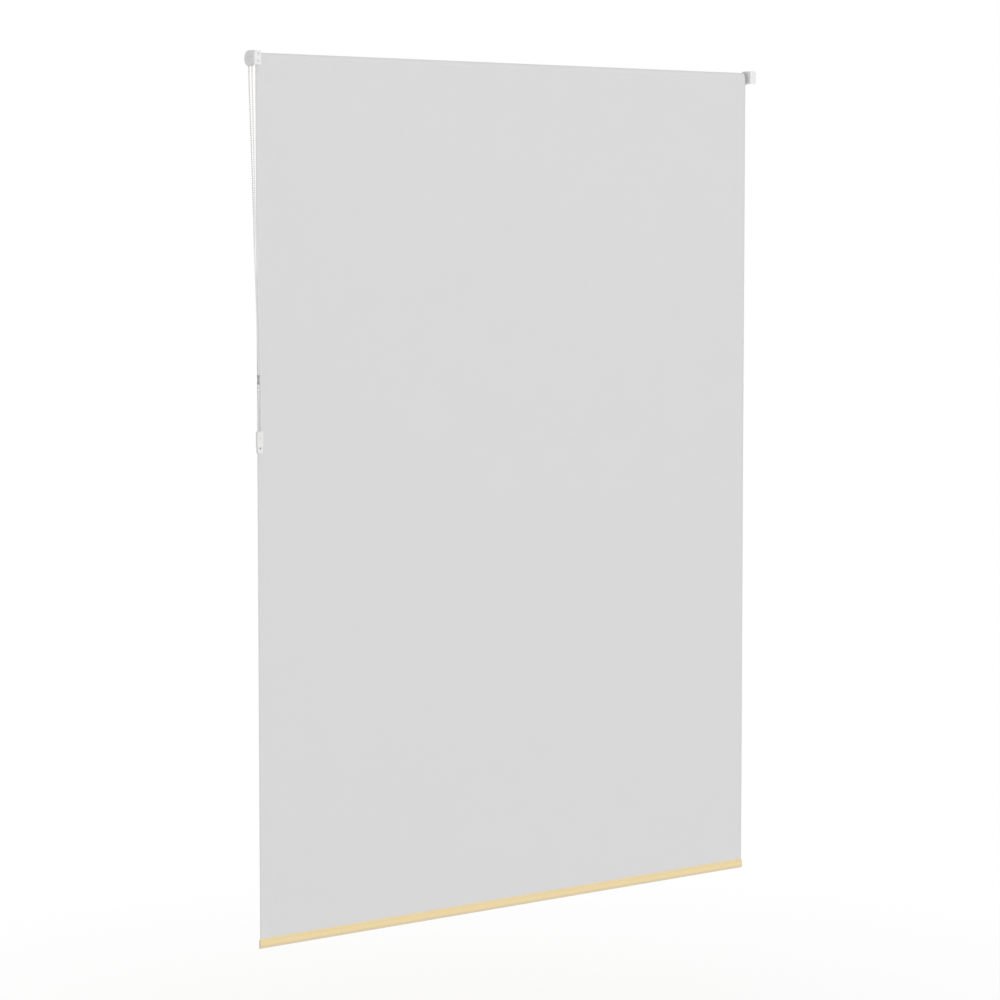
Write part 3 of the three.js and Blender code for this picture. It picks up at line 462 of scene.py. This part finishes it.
def makeChain(values):
    wheelRadius = values["pitch"] * values["wheelPockets"] / (2 * pi)
    tensionerRadius = values["pitch"] * values["tensionerPockets"] / (2 * pi)
    runLow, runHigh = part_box("chain_wall_run")
    loopLow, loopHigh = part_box("chain_top_loop")
    wheelLow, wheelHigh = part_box("tensioner_wheel")
    chainX = (loopLow.x + loopHigh.x) / 2
    wheel = (wheelLow + wheelHigh) / 2           # the tensioner's wheel
    wallTop = Vector((chainX, axis.y + wheelRadius, runHigh.z))
    roomTop = Vector((chainX, axis.y - wheelRadius, runHigh.z))
    wallFoot = Vector((wheel.x - tensionerRadius, wheel.y, runLow.z))
    roomFoot = Vector((wheel.x + tensionerRadius, wheel.y, runLow.z))
    overTop = [Vector((chainX, y, z)) for y, z in arc((axis.y, axis.z), wheelRadius, 90, 0, 16)]
    backOver = [Vector((chainX, y, z)) for y, z in arc((axis.y, axis.z), wheelRadius, 180, 90, 16)]
    under = [Vector((x, wheel.y, z)) for x, z in arc((wheel.x, wheel.z), tensionerRadius, 180, 360, 24)]
    wallRun = runLine(wallTop, wallFoot, wallRunRoute, values["leadIn"])
    roomRun = runLine(roomTop, roomFoot, roomRunRoute, values["leadIn"])
    parts = [
        overTop + [wallTop], wallRun, [wallFoot, *under, roomFoot], roomRun[::-1], [roomTop, *backOver],
    ]
    line = [point for part in parts for point in part]
    lengths = lengthsAlong(line)
    ends = [lengths[count - 1] for count in accumulate(map(len, parts))]
    count = round(lengths[-1] / values["pitch"])
    beads = [[] for _ in parts]
    stopLow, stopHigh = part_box("chain_stop")
    stopAt = (stopLow + stopHigh) / 2
    clear = values["bead"] + (stopHigh - stopLow).y / 2
    for i in range(count):
        distance = (i + 0.5) * lengths[-1] / count
        place, direction = placeAlong(line, lengths, distance)
        if (place - stopAt).length > clear:      # the stop ball leaves no room for a bead
            beads[sum(distance > end for end in ends)].append((place, direction))
    print("chain:", count, "beads,", round(lengths[-1], 4), "m round")

    wall = chainPiece("chainWallRun", [wallRun], beads[1], values, ["chain_wall_run"])
    roomNodes = [f"chain_room_run_{place}" for place in ("upper", "middle", "lower")]
    room = chainPiece("chainRoomRun", [roomRun], beads[3], values, roomNodes)
    chainPiece("chainOverClutch", [parts[4] + parts[0]], beads[4] + beads[0], values, ["chain_top_loop"])
    chainPiece("chainRoundTensioner", [parts[2]], beads[2], values, ["chain_bottom_loop"])
    return wall, wallRun, room, roomRun


# The connector and the stop ball on the room-side run
chainFittings = {
    "connectorBore": 1 * mm,
    "connectorWaist": 0.85 * mm,
    "shoulder": 0.8 * mm,
    "stopBore": 0.9 * mm,
    "seam": 0.18 * mm,
}


def makeConnector(values):
    low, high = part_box("chain_connector")
    half, radius = (high.z - low.z) / 2, (high.y - low.y) / 2
    shoulder, waist = values["shoulder"], radius - values["connectorWaist"]
    cup = half * 0.48                            # the length of each bead cup
    outline = [
        (-half, values["connectorBore"]), (-half, radius - shoulder), (-half + shoulder, radius),
        (-half + cup, radius), (-half + cup + shoulder, waist),
        (half - cup - shoulder, waist), (half - cup, radius),
        (half - shoulder, radius), (half, radius - shoulder), (half, values["connectorBore"]),
    ]
    bm = spun(outline, 32, closed=True)
    soften(bm, 0.2 * mm, sharpest=25)
    aim(bm, alongZ, (low + high) / 2)
    return keep(bm, "chainConnector", "wall_fixed", ["smokedPlastic"], ["chain_connector"])


def makeStop(values):
    low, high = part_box("chain_stop")
    half, radius = (high.z - low.z) / 2, (high.y - low.y) / 2
    bore, seam = values["stopBore"], values["seam"]
    start = degrees(asin(bore / radius))
    edge = degrees(seam / radius)
    upper = [(half * cos(t), radius * sin(t)) for t in
             (radians(start + (90 - edge - start) * i / 9) for i in range(10))]
    lower = [(-along, out) for along, out in reversed(upper)]
    outline = [*upper, (0, radius - seam), *lower]
    bm = spun(outline, 32, closed=True)
    aim(bm, alongZ, (low + high) / 2)
    return keep(bm, "chainStop", "wall_fixed", ["beadPlastic"], ["chain_stop"])


wallChain, wallLine, roomChain, roomLine = makeChain(beadChain)
connector = makeConnector(chainFittings)
stop = makeStop(chainFittings)
print("chain made")


# Brackets: a round cheek square to the roller, bent into a flange on the wall
bracketSizes = {
    "sheet": 2 * mm,
    "bend": 3 * mm,                              # outer radius
    "corner": 2.5 * mm,
    "screwHole": 2.75 * mm,
    "screwUp": 9.4 * mm,                         # above and below the flange's middle
    "screwFromEdge": 8.2 * mm,
    "edge": 0.3 * mm,
}


def makeBracket(name, node, holes, values):
    low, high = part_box(node)
    radius, half, bend = (high.z - low.z) / 2, high.z, values["bend"]
    lowest = 360 + degrees(asin((-half - axis.z) / radius))
    rim = arc((axis.y, axis.z), radius, 90, lowest, 60)
    cheek = [(-bend, half), *rim, (-bend, -half)]
    bm = bmesh.new()
    cheekEdges = addLoop(bm, [(high.x, y, z) for y, z in cheek])
    for hole in holes:
        cheekEdges += addLoop(bm, [(high.x, y, z) for y, z in hole])
    bendEdge = cheekEdges[0]
    fill(bm, cheekEdges)
    bmesh.ops.spin(
        bm, geom=[bendEdge, *bendEdge.verts], cent=(high.x - bend, -bend, 0), axis=alongZ,
        angle=pi / 2, steps=6,
    )
    corner = values["corner"]
    flange = [
        (high.x - bend, -half), (high.x - bend, half),
        *arc((low.x + corner, half - corner), corner, 90, 180, 5),
        *arc((low.x + corner, -half + corner), corner, 180, 270, 5),
    ]
    flangeEdges = addLoop(bm, [(x, 0, z) for x, z in flange])
    for side in (-1, 1):
        centre = (low.x + values["screwFromEdge"], side * values["screwUp"])
        hole = arc(centre, values["screwHole"], 0, 360 * 31 / 32, 31)
        flangeEdges += addLoop(bm, [(x, 0, z) for x, z in hole])
    fill(bm, flangeEdges)
    bmesh.ops.remove_doubles(bm, verts=bm.verts, dist=0.01 * mm)
    bmesh.ops.recalc_face_normals(bm, faces=bm.faces)
    bmesh.ops.solidify(bm, geom=bm.faces[:], thickness=values["sheet"])
    soften(bm, values["edge"])
    return keep(bm, name, "wall_fixed", ["powderCoat"], [node])


bossHole = 5.25 * mm
latchWindow = {"low": (10.5 * mm, 3 * mm), "high": (13.5 * mm, 7 * mm), "corner": 0.6 * mm}   # from the axis
pinHole = 3.25 * mm
squareHole = roundedBox(
    (axis.y - bossHole, axis.z - bossHole), (axis.y + bossHole, axis.z + bossHole), 0.6 * mm, 3,
)
window = roundedBox(
    [axis.y + latchWindow["low"][0], axis.z + latchWindow["low"][1]],
    [axis.y + latchWindow["high"][0], axis.z + latchWindow["high"][1]], latchWindow["corner"], 3,
)
makeBracket("clutchBracket", "clutch_bracket", [squareHole, window], bracketSizes)
roundHole = arc((axis.y, axis.z), pinHole, 0, 360 * 31 / 32, 31)
makeBracket("idleBracket", "idle_bracket", [roundHole], bracketSizes)
print("brackets made")


# Clutch: the round housing with two chain slots below, its cover and its square boss
clutchSizes = {
    "wall": 1.2 * mm,
    "round": 1.5 * mm,
    "slot": 5.8 * mm,
    "bore": 5.25 * mm,
    "coverBore": 6.7 * mm,
    "steps": 100,
    "edge": 0.22 * mm,
}


def makeHousing(values):
    low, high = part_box("clutch_housing")
    radius, rounding = (high.z - low.z) / 2, values["round"]
    edge = arc((high.x - rounding, radius - rounding), rounding, 90, 0, 6)
    bm = spun([(low.x, radius), *edge], values["steps"])
    aim(bm, alongX, (0, axis.y, axis.z))
    rim = [e for e in bm.edges if e.is_boundary and e.verts[0].co.x > high.x - 0.01 * mm]
    bore = arc((axis.y, axis.z), values["bore"], 0, 360 * 47 / 48, 47)
    for hole in (bore, window):
        rim += addLoop(bm, [(high.x, y, z) for y, z in hole])
    fill(bm, rim)
    bmesh.ops.recalc_face_normals(bm, faces=bm.faces)
    wheelRadius = beadChain["pitch"] * beadChain["wheelPockets"] / (2 * pi)
    opened = []
    for face in bm.faces:
        spot = face.calc_center_median()
        beside = abs(abs(spot.y - axis.y) - wheelRadius) < values["slot"] / 2
        if beside and spot.z < axis.z - radius * 0.7 and spot.x < high.x - rounding / 2:
            opened.append(face)
    bmesh.ops.delete(bm, geom=opened, context="FACES")
    bmesh.ops.solidify(bm, geom=bm.faces[:], thickness=values["wall"])
    soften(bm, values["edge"])
    return keep(bm, "clutchHousing", "wall_fixed", ["whiteMoulding"], ["clutch_housing"])


def makeCover(values):
    low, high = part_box("clutch_cover")
    radius, bore = (high.z - low.z) / 2, values["coverBore"]
    outline = [(low.x, bore), (low.x, radius), (high.x, radius), (high.x, bore)]
    bm = spun(outline, values["steps"], closed=True)
    soften(bm, values["edge"])
    aim(bm, alongX, (0, axis.y, axis.z))
    return keep(bm, "clutchCover", "wall_fixed", ["whiteMoulding"], ["clutch_cover"])


makeHousing(clutchSizes)
makeCover(clutchSizes)
print("clutch made")


# Idle end: the plug with its flange and nose, and the sprung pin through the bracket
idleSizes = {
    "flange": 2 * mm,
    "flangeRadius": 14.6 * mm,
    "seat": 0.25 * mm,                           # flange to the cloth's edge
    "nose": 6 * mm,
    "barrel": 12.8 * mm,
    "neck": 3.25 * mm,
    "neckLength": 12 * mm,
    "chamber": 4.6 * mm,
    "grooves": 6,
    "grooveWidth": 3 * mm,
    "grooveDepth": 2.2 * mm,
    "pin": 3 * mm,
    "pinTip": 0.6 * mm,
    "head": 4.3 * mm,
    "headLength": 3 * mm,
    "tail": 2 * mm,
    "springWire": 0.7 * mm,
    "springCurls": 8,
    "pinTravel": 5 * mm,
    "edge": 0.4 * mm,
    "steps": 96,
}


def groovePlug(bm, values, start):               # sinks long grooves into the barrel past start
    share = values["grooveWidth"] / values["barrel"] / 2
    for i in range(values["grooves"]):
        middle = 2 * pi * (i + 0.5) / values["grooves"]
        away = Vector((0, sin(middle), cos(middle)))
        chosen = []
        for face in bm.faces:
            spot = face.calc_center_median()
            out = Vector((0, spot.y, spot.z))
            near = out.length > values["barrel"] * 0.98 and out.angle(away) < share
            if spot.x > start and near and abs(face.normal.x) < 0.5:
                chosen.append(face)
        pull(bm, chosen, -values["grooveDepth"] * away)


def makeIdlePlug(values):
    low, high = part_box("idle_plug")
    flange = leftEdge - values["seat"]
    outline = [
        (low.x, values["neck"]), (low.x, values["nose"]),
        (flange - values["flange"], values["nose"]), (flange - values["flange"], values["flangeRadius"]),
        (flange, values["flangeRadius"]), (flange, values["barrel"]),
        (leftEdge + 5 * mm, values["barrel"]), (high.x, values["barrel"]), (high.x, values["chamber"]),
        (leftEdge + values["neckLength"], values["chamber"]), (leftEdge + values["neckLength"], values["neck"]),
    ]
    bm = spun(outline, values["steps"], closed=True)
    aim(bm, alongX, (0, 0, 0))
    groovePlug(bm, values, leftEdge + 5 * mm)
    soften(bm, values["edge"])
    # painted shade: the flange and barrel get dark moulding to stand for the shaded gap between the roll's end and
    # the bracket; the nose keeps the plug's white
    for face in bm.faces:
        spot = face.calc_center_median()
        if spot.x < flange - values["flange"] * 0.9 and abs(Vector((spot.y, spot.z)).length) < values["nose"] * 1.01:
            face.material_index = 1              # the nose shows the plug's own white; the rest is dark as painted shade
    bmesh.ops.translate(bm, vec=(0, axis.y, axis.z), verts=bm.verts)
    return keep(
        bm, "idlePlug", "roller", ["darkMouldingAndShade", "whiteMoulding"], ["idle_plug"],
    )


def makeIdlePin(values):
    low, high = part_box("idle_pin")
    head = leftEdge + values["neckLength"] + 0.3 * mm
    outline = [
        (low.x, 0), (low.x, values["pin"] - values["pinTip"]), (low.x + values["pinTip"], values["pin"]),
        (head, values["pin"]), (head, values["head"]), (head + values["headLength"], values["head"]),
        (head + values["headLength"], values["tail"]), (high.x, values["tail"]), (high.x, 0),
    ]
    bm = spun(outline, 48)
    soften(bm, 0.2 * mm, sharpest=30)
    aim(bm, alongX, (0, axis.y, axis.z))
    return keep(bm, "idlePin", "pin", ["springSteel"], ["idle_pin"])


def makePinSpring(values, stepsPerCurl=24):      # wound about the pin
    low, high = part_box("pin_spring")
    wire, curls = values["springWire"], values["springCurls"]
    radius = (high.z - low.z - wire) / 2
    bm = bmesh.new()
    bmesh.ops.create_circle(bm, segments=10, radius=wire / 2)
    bmesh.ops.translate(bm, vec=(low.x + wire / 2, axis.y + radius, axis.z), verts=bm.verts)
    steps = curls * stepsPerCurl
    rise = (high.x - low.x - wire) / steps
    bmesh.ops.spin(
        bm, geom=bm.verts[:] + bm.edges[:], cent=axis, axis=alongX, dvec=(rise, 0, 0),
        angle=2 * pi * curls, steps=steps,
    )
    bmesh.ops.holes_fill(bm, edges=[edge for edge in bm.edges if edge.is_boundary], sides=0)
    bmesh.ops.recalc_face_normals(bm, faces=bm.faces)
    spring = keep(bm, "pinSpring", "roller", ["springSteel"], ["pin_spring"], weighted=False)
    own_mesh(spring)


makeIdlePlug(idleSizes)
makeIdlePin(idleSizes)
makePinSpring(idleSizes)
print("idle end made")


# Cloth: one length that leaves the roll on the wall side, hangs, and folds round the hem bar
clothSizes = {
    "thick": 0.45 * mm,
    "ripple": 0.3 * mm,
    "turns": 1.5,                                # on the tube with the blind down
    "columns": 130,
    "rows": 170,
    "stepsPerTurn": 96,
}
hemSizes = {
    "taper": 6 * mm,
    "corner": 1.9 * mm,
    "columns": 40,
    "capThick": 1 * mm,
}


def layCloth(bm, along):                         # UVs in metres: x across, and the given length down
    layer = bm.loops.layers.uv.new("cloth")
    for face in bm.faces:
        for loop in face.loops:
            loop[layer].uv = (loop.vert.co.x, along(loop.vert))


def makePanel(values):
    top, bottom = axis.z, hemHigh.z
    width, drop = rightEdge - leftEdge, top - bottom
    bm = bmesh.new()
    bmesh.ops.create_grid(bm, x_segments=values["columns"], y_segments=values["rows"], size=0.5)
    turn = Matrix.Rotation(pi / 2, 4, "X")
    bmesh.ops.transform(bm, matrix=turn, verts=bm.verts)
    bmesh.ops.scale(bm, vec=(width, 1, drop), verts=bm.verts)
    bmesh.ops.translate(
        bm, vec=((leftEdge + rightEdge) / 2, clothY + values["thick"] / 2, (top + bottom) / 2), verts=bm.verts,
    )
    for vert in bm.verts:                        # a slow, faint wave that dies out at the roll and the hem
        down = (top - vert.co.z) / drop
        wave = sin(7.3 * vert.co.x + 1.1) * cos(3.1 * vert.co.z) + 0.6 * sin(17.9 * vert.co.x - 2.3 * vert.co.z)
        vert.co.y += values["ripple"] * sin(pi * down) * wave
    bmesh.ops.recalc_face_normals(bm, faces=bm.faces)
    if bm.faces[0].normal.y < 0:
        bmesh.ops.reverse_faces(bm, faces=bm.faces)
    bmesh.ops.solidify(bm, geom=bm.faces[:], thickness=values["thick"])
    layCloth(bm, lambda vert: vert.co.z)
    for face in bm.faces:
        face.material_index = 1 if face.normal.y < -0.5 else 0
    return keep(
        bm, "fabricPanel", "wall_fixed", ["coatedBack", "roomWeave"], ["fabric_panel"],
        weighted=False,
    )


def makeRoll(values):
    thick, turns = values["thick"], values["turns"]
    outer = clothY + thick / 2 - axis.y          # meets the hanging cloth's wall face
    perTurn = thick + 0.01 * mm
    steps = round(values["stepsPerTurn"] * turns)
    bm = bmesh.new()
    spiral = []
    for i in range(steps + 1):
        turn = turns * i / steps
        radius = outer - perTurn * turn
        spiral.append((leftEdge, axis.y + radius * cos(2 * pi * turn), axis.z + radius * sin(2 * pi * turn)))
    edges = addLoop(bm, spiral, closed=False)
    order = {vert: i for i, vert in enumerate(bm.verts)}
    pulled = bmesh.ops.extrude_edge_only(bm, edges=edges)["geom"]
    verts = [part for part in pulled if isinstance(part, bmesh.types.BMVert)]
    bmesh.ops.translate(bm, vec=(rightEdge - leftEdge, 0, 0), verts=verts)
    bmesh.ops.recalc_face_normals(bm, faces=bm.faces)
    first = bm.faces[:][0]
    if first.normal.dot(first.calc_center_median() - axis) < 0:
        bmesh.ops.reverse_faces(bm, faces=bm.faces)
    bmesh.ops.solidify(bm, geom=bm.faces[:], thickness=thick)
    for face in bm.faces:
        out = face.calc_center_median() - axis
        out.x = 0
        face.material_index = 1 if face.normal.dot(out.normalized()) < -0.5 else 0
    layCloth(bm, lambda vert: (vert.co.z - axis.z))
    return keep(
        bm, "fabricRoll", "roller", ["coatedBack", "roomWeave"], ["fabric_roll"],
        weighted=False,
    )


def hemOutline(values, thick):                   # the outer face, from the panel's foot round the bar and up
    deep = (hemHigh.y - hemLow.y) / 2
    middle = (hemHigh.y + hemLow.y) / 2
    corner, taper = values["corner"], values["taper"]
    eases = [(1 - cos(pi * i / 8)) / 2 for i in range(9)]
    room = [
        (middle - thick / 2 - (deep - thick / 2) * ease, hemHigh.z - taper * i / 8)
        for i, ease in enumerate(eases)
    ]
    flap = 1.5 * thick
    wall = [(middle + flap + (deep - flap) * ease, hemHigh.z - taper * i / 8) for i, ease in enumerate(eases)]
    bottom = [
        *arc((middle - deep + corner, hemLow.z + corner), corner, 180, 270, 6),
        *arc((middle + deep - corner, hemLow.z + corner), corner, 270, 360, 6),
    ]
    return room + bottom + wall[::-1]


def makeHem(values, cloth):
    thick = cloth["thick"]
    bm = bmesh.new()
    outline = hemOutline(values, thick)
    edges = addLoop(bm, [(leftEdge, y, z) for y, z in outline], closed=False)
    width = (rightEdge - leftEdge) / values["columns"]
    for _ in range(values["columns"]):
        pulled = bmesh.ops.extrude_edge_only(bm, edges=edges)["geom"]
        edges = [part for part in pulled if isinstance(part, bmesh.types.BMEdge)]
        verts = [part for part in pulled if isinstance(part, bmesh.types.BMVert)]
        bmesh.ops.translate(bm, vec=(width, 0, 0), verts=verts)
    bmesh.ops.recalc_face_normals(bm, faces=bm.faces)
    middle = Vector((0, (hemHigh.y + hemLow.y) / 2, (hemHigh.z + hemLow.z) / 2))
    lowest = min(bm.faces, key=lambda face: face.calc_center_median().z)
    if lowest.normal.z > 0:
        bmesh.ops.reverse_faces(bm, faces=bm.faces)
    bmesh.ops.solidify(bm, geom=bm.faces[:], thickness=thick)
    for face in bm.faces:
        out = face.calc_center_median() - middle
        out.x = 0
        face.material_index = 1 if face.normal.dot(out.normalized()) > -0.2 else 0
    layCloth(bm, lambda vert: vert.co.z + (vert.co.y - middle.y if vert.co.z < hemLow.z + 2 * mm else 0))
    return keep(
        bm, "hemPocket", "hem", ["coatedBack", "roomWeave"], ["hem_pocket"], weighted=False,
    )


def makeHemCap(name, node, side, values):        # a rimmed plate over the hem's end, with a tongue in the bar
    low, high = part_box(node)
    barLow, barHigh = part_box("hem_bar")
    outer = high.x if side > 0 else low.x
    bm = bmesh.new()
    outline = roundedBox((low.y, low.z), (high.y, high.z), 2 * mm)
    faces = facesIn(fill(bm, addLoop(bm, [(outer, y, z) for y, z in outline])))
    bmesh.ops.dissolve_faces(bm, faces=faces)
    pull(bm, bm.faces[:], (-side * values["capThick"], 0, 0), keepBack=True)
    bmesh.ops.recalc_face_normals(bm, faces=bm.faces)
    face = max(bm.faces, key=lambda f: side * f.calc_center_median().x)
    bmesh.ops.inset_region(bm, faces=[face], thickness=0.7 * mm, depth=-0.15 * mm)
    tongue = bmesh.ops.create_cube(bm, size=1)["verts"]
    inner = high.x if side < 0 else low.x
    reach = abs(inner - outer) - values["capThick"] * 0.5
    size = (reach, barHigh.y - barLow.y - 2.4 * mm, barHigh.z - barLow.z - 2.4 * mm)
    bmesh.ops.scale(bm, vec=size, verts=tongue)
    centre = (inner + side * reach / 2, (barLow.y + barHigh.y) / 2, (barLow.z + barHigh.z) / 2)
    bmesh.ops.translate(bm, vec=centre, verts=tongue)
    soften(bm, 0.25 * mm)
    return keep(bm, name, "hem", ["capMoulding"], [node])


roll = makeRoll(clothSizes)
hem = makeHem(hemSizes, clothSizes)
makeHemCap("hemCapClutchSide", "hem_cap_clutch_side", 1, hemSizes)
makeHemCap("hemCapIdleSide", "hem_cap_idle_side", -1, hemSizes)
panel = makePanel(clothSizes)
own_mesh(panel)
print("cloth made")


# Tensioner: a body with a back plate, side walls and a solid foot, and a flat cover on the room side
tensionerSizes = {
    "corner": 2.5 * mm,
    "tab": 7.75 * mm,                            # half the foot's width
    "shoulder": 40 * mm,
    "wall": 0.8 * mm,
    "back": 1.2 * mm,
    "blockTop": 29 * mm,
    "screwUp": 13 * mm,
    "screw": 2.75 * mm,
    "axleDrop": 17.2 * mm,
    "axle": 2.15 * mm,
    "edge": 0.25 * mm,
}


def tensionerOutline(low, high, values):         # seen along Y, with a corner where each side wall's inside starts
    middle = (low.x + high.x) / 2
    half, corner, tab = (high.x - low.x) / 2, values["corner"], values["tab"]
    shoulder = high.z - values["shoulder"]
    centre = (middle - half + corner, high.z - corner)
    split = degrees(acos(1 - values["wall"] / corner))
    left = arc(centre, corner, 90, 180 - split, 4) + arc(centre, corner, 180 - split, 180, 3)[1:]
    right = [(2 * middle - x, z) for x, z in reversed(left)]
    foot = [
        *arc((middle - tab + corner, low.z + corner), corner, 180, 270, 5),
        *arc((middle + tab - corner, low.z + corner), corner, 270, 360, 5),
    ]
    slope = shoulder - (half - tab)
    return [
        *left, (middle - half, shoulder), (middle - tab, slope), *foot, (middle + tab, slope),
        (middle + half, shoulder), *right,
    ]


def holeLoop(x, z, radius, steps=28):
    return arc((x, z), radius, 0, 360 * (steps - 1) / steps, steps - 1)


def makeTensionerBody(values):
    low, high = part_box("tensioner_body")
    middle = (low.x + high.x) / 2
    inside = (high.x - low.x) / 2 - values["wall"]
    block = high.z - values["blockTop"]
    bm = bmesh.new()
    around = addLoop(bm, [(x, high.y, z) for x, z in tensionerOutline(low, high, values)])
    left, right = around[4].verts[0], around[-4].verts[1]    # where the side walls' insides start
    corners = [bm.verts.new((middle + side * inside, high.y, block)) for side in (-1, 1)]
    walls = [bm.edges.new(pair) for pair in ((left, corners[0]), corners, (corners[1], right))]
    axle = holeLoop(middle, high.z - values["axleDrop"], values["axle"])
    screw = holeLoop(middle, low.z + values["screwUp"], values["screw"])
    hollow = around[-4:] + around[:5] + walls + addLoop(bm, [(x, high.y, z) for x, z in axle])
    solid = around[5:-4] + walls + addLoop(bm, [(x, high.y, z) for x, z in screw])
    fill(bm, hollow)
    fill(bm, solid)
    front = pull(bm, bm.faces[:], (0, -values["back"], 0), keepBack=True)
    raised = []
    for face in front:
        spot = face.calc_center_median()
        if spot.z < block or abs(spot.x - middle) > inside:
            raised.append(face)
    pull(bm, raised, (0, low.y - high.y + values["back"], 0))
    bmesh.ops.recalc_face_normals(bm, faces=bm.faces)
    soften(bm, values["edge"])
    return keep(bm, "tensionerBody", "wall_fixed", ["whiteMoulding"], ["tensioner_body"])


def makeTensionerCover(values):
    low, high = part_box("tensioner_cover")
    middle = (low.x + high.x) / 2
    bm = bmesh.new()
    edges = addLoop(bm, [(x, high.y, z) for x, z in tensionerOutline(low, high, values)])
    screw = holeLoop(middle, low.z + values["screwUp"], values["screw"])
    axle = holeLoop(middle, high.z - values["axleDrop"], values["axle"])
    for hole in (screw, axle):
        edges += addLoop(bm, [(x, high.y, z) for x, z in hole])
    fill(bm, edges)
    pull(bm, bm.faces[:], (0, low.y - high.y, 0), keepBack=True)
    bmesh.ops.recalc_face_normals(bm, faces=bm.faces)
    soften(bm, values["edge"])
    return keep(bm, "tensionerCover", "wall_fixed", ["whiteMoulding"], ["tensioner_cover"])


def makeTensionerAxle():
    low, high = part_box("tensioner_axle")
    radius = (high.z - low.z) / 2
    bm = spun([(low.y, 0), (low.y, radius), (high.y, radius), (high.y, 0)], 32)
    soften(bm, 0.3 * mm)
    middle = (low + high) / 2
    aim(bm, alongY, (middle.x, 0, middle.z))
    return keep(bm, "tensionerAxle", "wall_fixed", ["springSteel"], ["tensioner_axle"])


makeTensionerBody(tensionerSizes)
makeTensionerCover(tensionerSizes)
makeTensionerAxle()
print("tensioner made")


# The inner pieces keep their own shape and get a finish
innerFinishes = {
    "clutch_core": "whiteMoulding",
    "chain_wheel": "darkMouldingAndShade",
    "wrap_spring_1": "springSteel",
    "wrap_spring_2": "springSteel",
    "drive_plug": "greyMoulding",
    "core_washer": "springSteel",
    "core_screw": "springSteel",
    "roller_tube": "drawnAluminium",
    "adhesive_tape": "fixingTape",
    "hem_bar": "drawnAluminium",
    "spring_retainer": "whiteMoulding",
    "tensioner_wheel": "whiteMoulding",
}
for node, finish in innerFinishes.items():
    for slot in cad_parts[node].material_slots:
        slot.material = finishes[finish]
print("inner pieces finished")


# Light and floor
studio = {
    "ambient": 0.62,
    "floorBelow": 0.45,                          # under the hem
    "floorSize": 60,
    "nearShare": 0.25,                           # how much of the floor's own shading shows below the blind
    "fade": 2.6,                                 # m to where none of it shows
    "lamps": [
        {"name": "keyLamp", "place": (-1.5, 13, 0.3), "size": 8, "power": 520},
        {"name": "topLamp", "place": (-0.85, 1.5, 9), "size": 6, "power": 110},
        {"name": "roomLamp", "place": (-1.8, -9, 1.5), "size": 6, "power": 200},
    ],
}


def seenRays(maker):                             # 1 for what the camera, a reflection or glass shows
    rays = maker.node("ShaderNodeLightPath").end.node
    camera, glossy, clear = (Number(maker, rays.outputs[f"Is {kind} Ray"]) for kind in
                             ("Camera", "Glossy", "Transmission"))
    return camera.math("MAXIMUM", camera.math("MAXIMUM", camera, glossy), clear)


def lightWorld(values):
    world = bpy.data.worlds.new("studio")
    bpy.context.scene.world = world
    maker = NodeMaker(world)
    seen = seenRays(maker)
    dim = maker.node("ShaderNodeBackground", inputs={"Color": (1, 1, 1, 1), "Strength": values["ambient"]})
    white = maker.node("ShaderNodeBackground", inputs={"Color": (1, 1, 1, 1), "Strength": 1.0})
    mixed = maker.node("ShaderNodeMixShader", inputs={0: seen, 1: dim, 2: white})
    maker.node("ShaderNodeOutputWorld", inputs={"Surface": mixed})


def layFloor(values):
    bm = bmesh.new()
    bmesh.ops.create_grid(bm, x_segments=1, y_segments=1, size=values["floorSize"] / 2)
    middle = (cadBox[0] + cadBox[1]) / 2
    bmesh.ops.translate(bm, vec=(middle.x, middle.y, hemLow.z - values["floorBelow"]), verts=bm.verts)
    mesh = bpy.data.meshes.new("floor")
    bm.to_mesh(mesh)
    bm.free()
    floor = bpy.data.objects.new("floor", mesh)
    bpy.context.scene.collection.objects.link(floor)
    material = bpy.data.materials.new("paleFloor")
    maker = NodeMaker(material)
    matt = maker.node("ShaderNodeBsdfDiffuse", inputs={"Color": (0.9, 0.9, 0.9, 1)})
    white = maker.node("ShaderNodeEmission", inputs={"Color": (1, 1, 1, 1), "Strength": 1.0})
    spot = maker.node("ShaderNodeTexCoord", output="Object")
    below = (-middle.x, -middle.y, values["floorBelow"] - hemLow.z)
    centred = maker.node("ShaderNodeMapping", inputs={"Vector": spot, "Location": below})
    away = maker.node("ShaderNodeVectorMath", {"operation": "LENGTH"}, {0: centred}, output=1)
    near = away.math("MAXIMUM", 1 - away * (1 / values["fade"]), 0) * values["nearShare"]
    mixed = maker.node("ShaderNodeMixShader", inputs={0: seenRays(maker) * (1 - near), 1: matt, 2: white})
    maker.node("ShaderNodeOutputMaterial", inputs={"Surface": mixed})
    mesh.materials.append(material)


def hangLamps(values):
    target = (cadBox[0] + cadBox[1]) / 2
    for lamp in values["lamps"]:
        light = bpy.data.lights.new(lamp["name"], "AREA")
        light.energy = lamp["power"]
        light.size = lamp["size"]
        holder = bpy.data.objects.new(lamp["name"], light)
        holder.location = lamp["place"]
        toward = target - Vector(lamp["place"])
        holder.rotation_euler = toward.to_track_quat("-Z", "Y").to_euler()
        holder.visible_camera = False
        bpy.context.scene.collection.objects.link(holder)


lightWorld(studio)
layFloor(studio)
hangLamps(studio)
bpy.context.scene.view_settings.view_transform = "Standard"
print("studio set")
